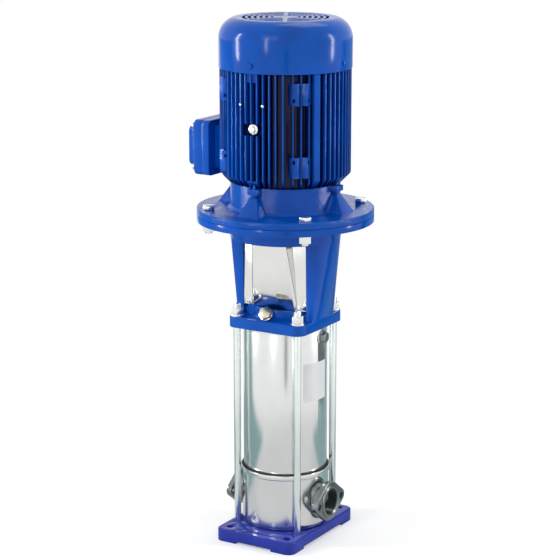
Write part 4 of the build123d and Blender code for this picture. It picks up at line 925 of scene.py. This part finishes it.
# ---------------------------------------------------------------- studio
@dataclass(frozen=True)
class Lamp:
    """A rectangular lamp that faces the shaft axis, as bright as its radiance, where 1 is white."""

    name: str
    angle: float                # degrees to the right of the camera
    radius: float
    height: float
    aim: float                  # height of the point that it faces
    size: Tuple[float, float]
    radiance: float


@dataclass(frozen=True)
class Card:
    """A card that only reflections see; a flat one lies on the floor, high - low deep."""

    name: str
    angle: float                # degrees to the right of the camera
    radius: float
    low: float
    high: float
    width: float
    tone: Colour
    flat: bool = False


@dataclass
class Studio:
    """White sweep, soft lamps and the camera."""

    azimuth: float = 31.0
    distance: float = 3.2
    height: float = 1.218
    aim: float = 0.45
    aside: float = -0.0092
    lens: float = 124.0
    sensor: float = 36.0
    view_end: float = 50.0
    ambient: float = 0.42
    floor_size: float = 16.0
    floor_tone: float = 0.8
    floor_glow: float = 0.35    # added for the camera alone
    shadow_start: float = 0.35  # the floor turns white between these radii
    shadow_end: float = 1.1
    lamps: Tuple[Lamp, ...] = (
        Lamp("left_strip", -88.0, 1.7, 1.05, 1.0, (0.17, 1.3), 26.0),
        Lamp("right_strip", 85.0, 1.7, 1.05, 1.0, (0.16, 1.3), 22.0),
        Lamp("front_strip", -32.0, 2.0, 1.1, 1.0, (0.09, 1.2), 20.0),
        Lamp("front_box", -28.0, 2.8, 2.2, 0.5, (1.4, 1.2), 1.6),
        Lamp("top_box", 150.0, 0.8, 2.5, 0.8, (1.0, 1.0), 2.5),
    )
    cards: Tuple[Card, ...] = (
        Card("back_left_card", -122.0, 0.9, 0.0, 0.8, 0.8, (0.24, 0.38, 0.38)),
        Card("back_right_card", 140.0, 0.9, 0.0, 0.8, 0.8, (0.26, 0.39, 0.40)),
        Card("left_floor_card", -124.0, 0.55, 0.003, 0.703, 0.85, (0.26, 0.40, 0.40), True),
        Card("right_floor_card", 142.0, 0.55, 0.003, 0.703, 0.85, (0.28, 0.41, 0.42), True),
        Card("dark_right_card", 112.0, 0.85, 0.0, 0.8, 0.16, (0.02, 0.04, 0.05)),
        Card("window_card", 1.5, 1.5, 0.05, 0.62, 0.16, (0.01, 0.02, 0.03)),
    )

    def around(self, angle: float, radius: float, height: float) -> Vector:
        """A point round the pump.

        Args:
            angle: Degrees to the right of the camera.
            radius: Distance from the shaft axis.
            height: Height above the floor.

        Returns:
            The point.
        """
        turn = math.radians(self.azimuth + angle)
        return Vector((math.sin(turn) * radius, -math.cos(turn) * radius, height))

    @staticmethod
    def point(thing: bpy.types.Object, place: Vector, target: Vector) -> None:
        """Put a lamp or camera at its place and face it to a target.

        Args:
            thing: The lamp or camera.
            place: Where it stands.
            target: The point that it faces.
        """
        bpy.context.scene.collection.objects.link(thing)
        thing.location = place
        thing.rotation_mode = "QUATERNION"
        thing.rotation_quaternion = (target - place).to_track_quat("-Z", "Y")

    def world(self) -> None:
        """A pale room that rays to the camera and reflections see as white."""
        world = bpy.data.worlds.new("pale_room")
        bpy.context.scene.world = world
        world.use_nodes = True
        tree = Tree(world.node_tree)
        seen = tree.ray("Is Camera Ray").either(tree.ray("Is Glossy Ray"))
        seen = seen.either(tree.ray("Is Transmission Ray"))
        level = tree.node("ShaderNodeMapRange", None, {"Value": seen, "To Min": self.ambient})
        light = tree.node("ShaderNodeBackground", None, {"Strength": level, "Color": WHITE})
        tree.node("ShaderNodeOutputWorld", None, {"Surface": light}, None)

    def floor(self) -> None:
        """A pale floor that keeps the shadow."""
        Bench.clear()
        bpy.ops.mesh.primitive_plane_add(size=self.floor_size)
        plane = bpy.context.object
        plane.name = "floor"
        shader = Shader("pale_floor")
        camera = shader.ray("Is Camera Ray")
        tone = (self.floor_tone, self.floor_tone, self.floor_tone, 1.0)
        diffuse = shader.node("ShaderNodeBsdfDiffuse", None, {"Color": tone})
        glow = shader.node("ShaderNodeEmission", None, {"Color": WHITE, "Strength": camera * self.floor_glow})
        near = shader.node("ShaderNodeAddShader", None, {0: diffuse, 1: glow})
        white = shader.node("ShaderNodeEmission", None, {"Color": WHITE, "Strength": 1.0})
        away = shader.radius((0.0, 0.0, 0.0), (1.0, 1.0, 0.0)).ramp(self.shadow_start, self.shadow_end)
        far = away * (camera + shader.ray("Is Glossy Ray"))
        plane.data.materials.append(
            shader.finish(shader.node("ShaderNodeMixShader", None, {0: far, 1: near, 2: white})))

    def card(self, card: Card) -> None:
        """Stand or lay one card.

        Args:
            card: The card.
        """
        Bench.clear()
        bpy.ops.mesh.primitive_plane_add(size=1.0)
        sheet = bpy.context.object
        sheet.name = card.name
        centre = self.around(card.angle, card.radius, card.low if card.flat else (card.low + card.high) / 2)
        axes = ("Y", "Z") if card.flat else ("Z", "Y")
        facing = Vector((-centre.x, -centre.y, 0.0)).to_track_quat(*axes).to_matrix().to_4x4()
        size = Matrix.Diagonal((card.width, card.high - card.low, 1.0, 1.0))
        sheet.data.transform(Matrix.Translation(centre) @ facing @ size)
        shader = Shader(card.name)
        glow = shader.node("ShaderNodeEmission", None, {"Color": (*card.tone, 1.0), "Strength": 1.0})
        sheet.data.materials.append(shader.finish(glow))
        sheet.visible_camera = False
        sheet.visible_diffuse = False
        sheet.visible_shadow = False
        sheet.visible_transmission = False

    def lamp(self, lamp: Lamp) -> None:
        """Hang one lamp.

        Args:
            lamp: The lamp.
        """
        data = bpy.data.lights.new(lamp.name, "AREA")
        data.shape = "RECTANGLE"
        data.size, data.size_y = lamp.size
        data.energy = lamp.radiance * math.pi * lamp.size[0] * lamp.size[1]
        place = self.around(lamp.angle, lamp.radius, lamp.height)
        self.point(bpy.data.objects.new(lamp.name, data), place, Vector((0.0, 0.0, lamp.aim)))

    def camera(self) -> None:
        """The camera at its place."""
        data = bpy.data.cameras.new("camera")
        data.lens = self.lens
        data.sensor_width = self.sensor
        data.clip_end = self.view_end
        camera = bpy.data.objects.new("camera", data)
        place = self.around(0.0, self.distance, self.height)
        self.point(camera, place, self.around(90.0, self.aside, self.aim))
        bpy.context.scene.camera = camera

    def build(self) -> None:
        """Set up the room."""
        bpy.context.scene.view_settings.view_transform = "Standard"
        self.world()
        self.floor()
        for lamp in self.lamps:
            self.lamp(lamp)
        for card in self.cards:
            self.card(card)
        self.camera()
        LOG.info("studio: %d lamps, %d cards", len(self.lamps), len(self.cards))


def main() -> None:
    """Build every sub-assembly in order."""
    logging.basicConfig(level=logging.INFO, format="%(name)s %(message)s")
    finishes = Finishes()
    CarriedOver(finishes).build()
    Castings(finishes).build()
    Threads(finishes).build()
    Label(finishes).build()
    DrivePins(finishes).build()
    Studio().build()


if __name__ == "__main__":
    main()
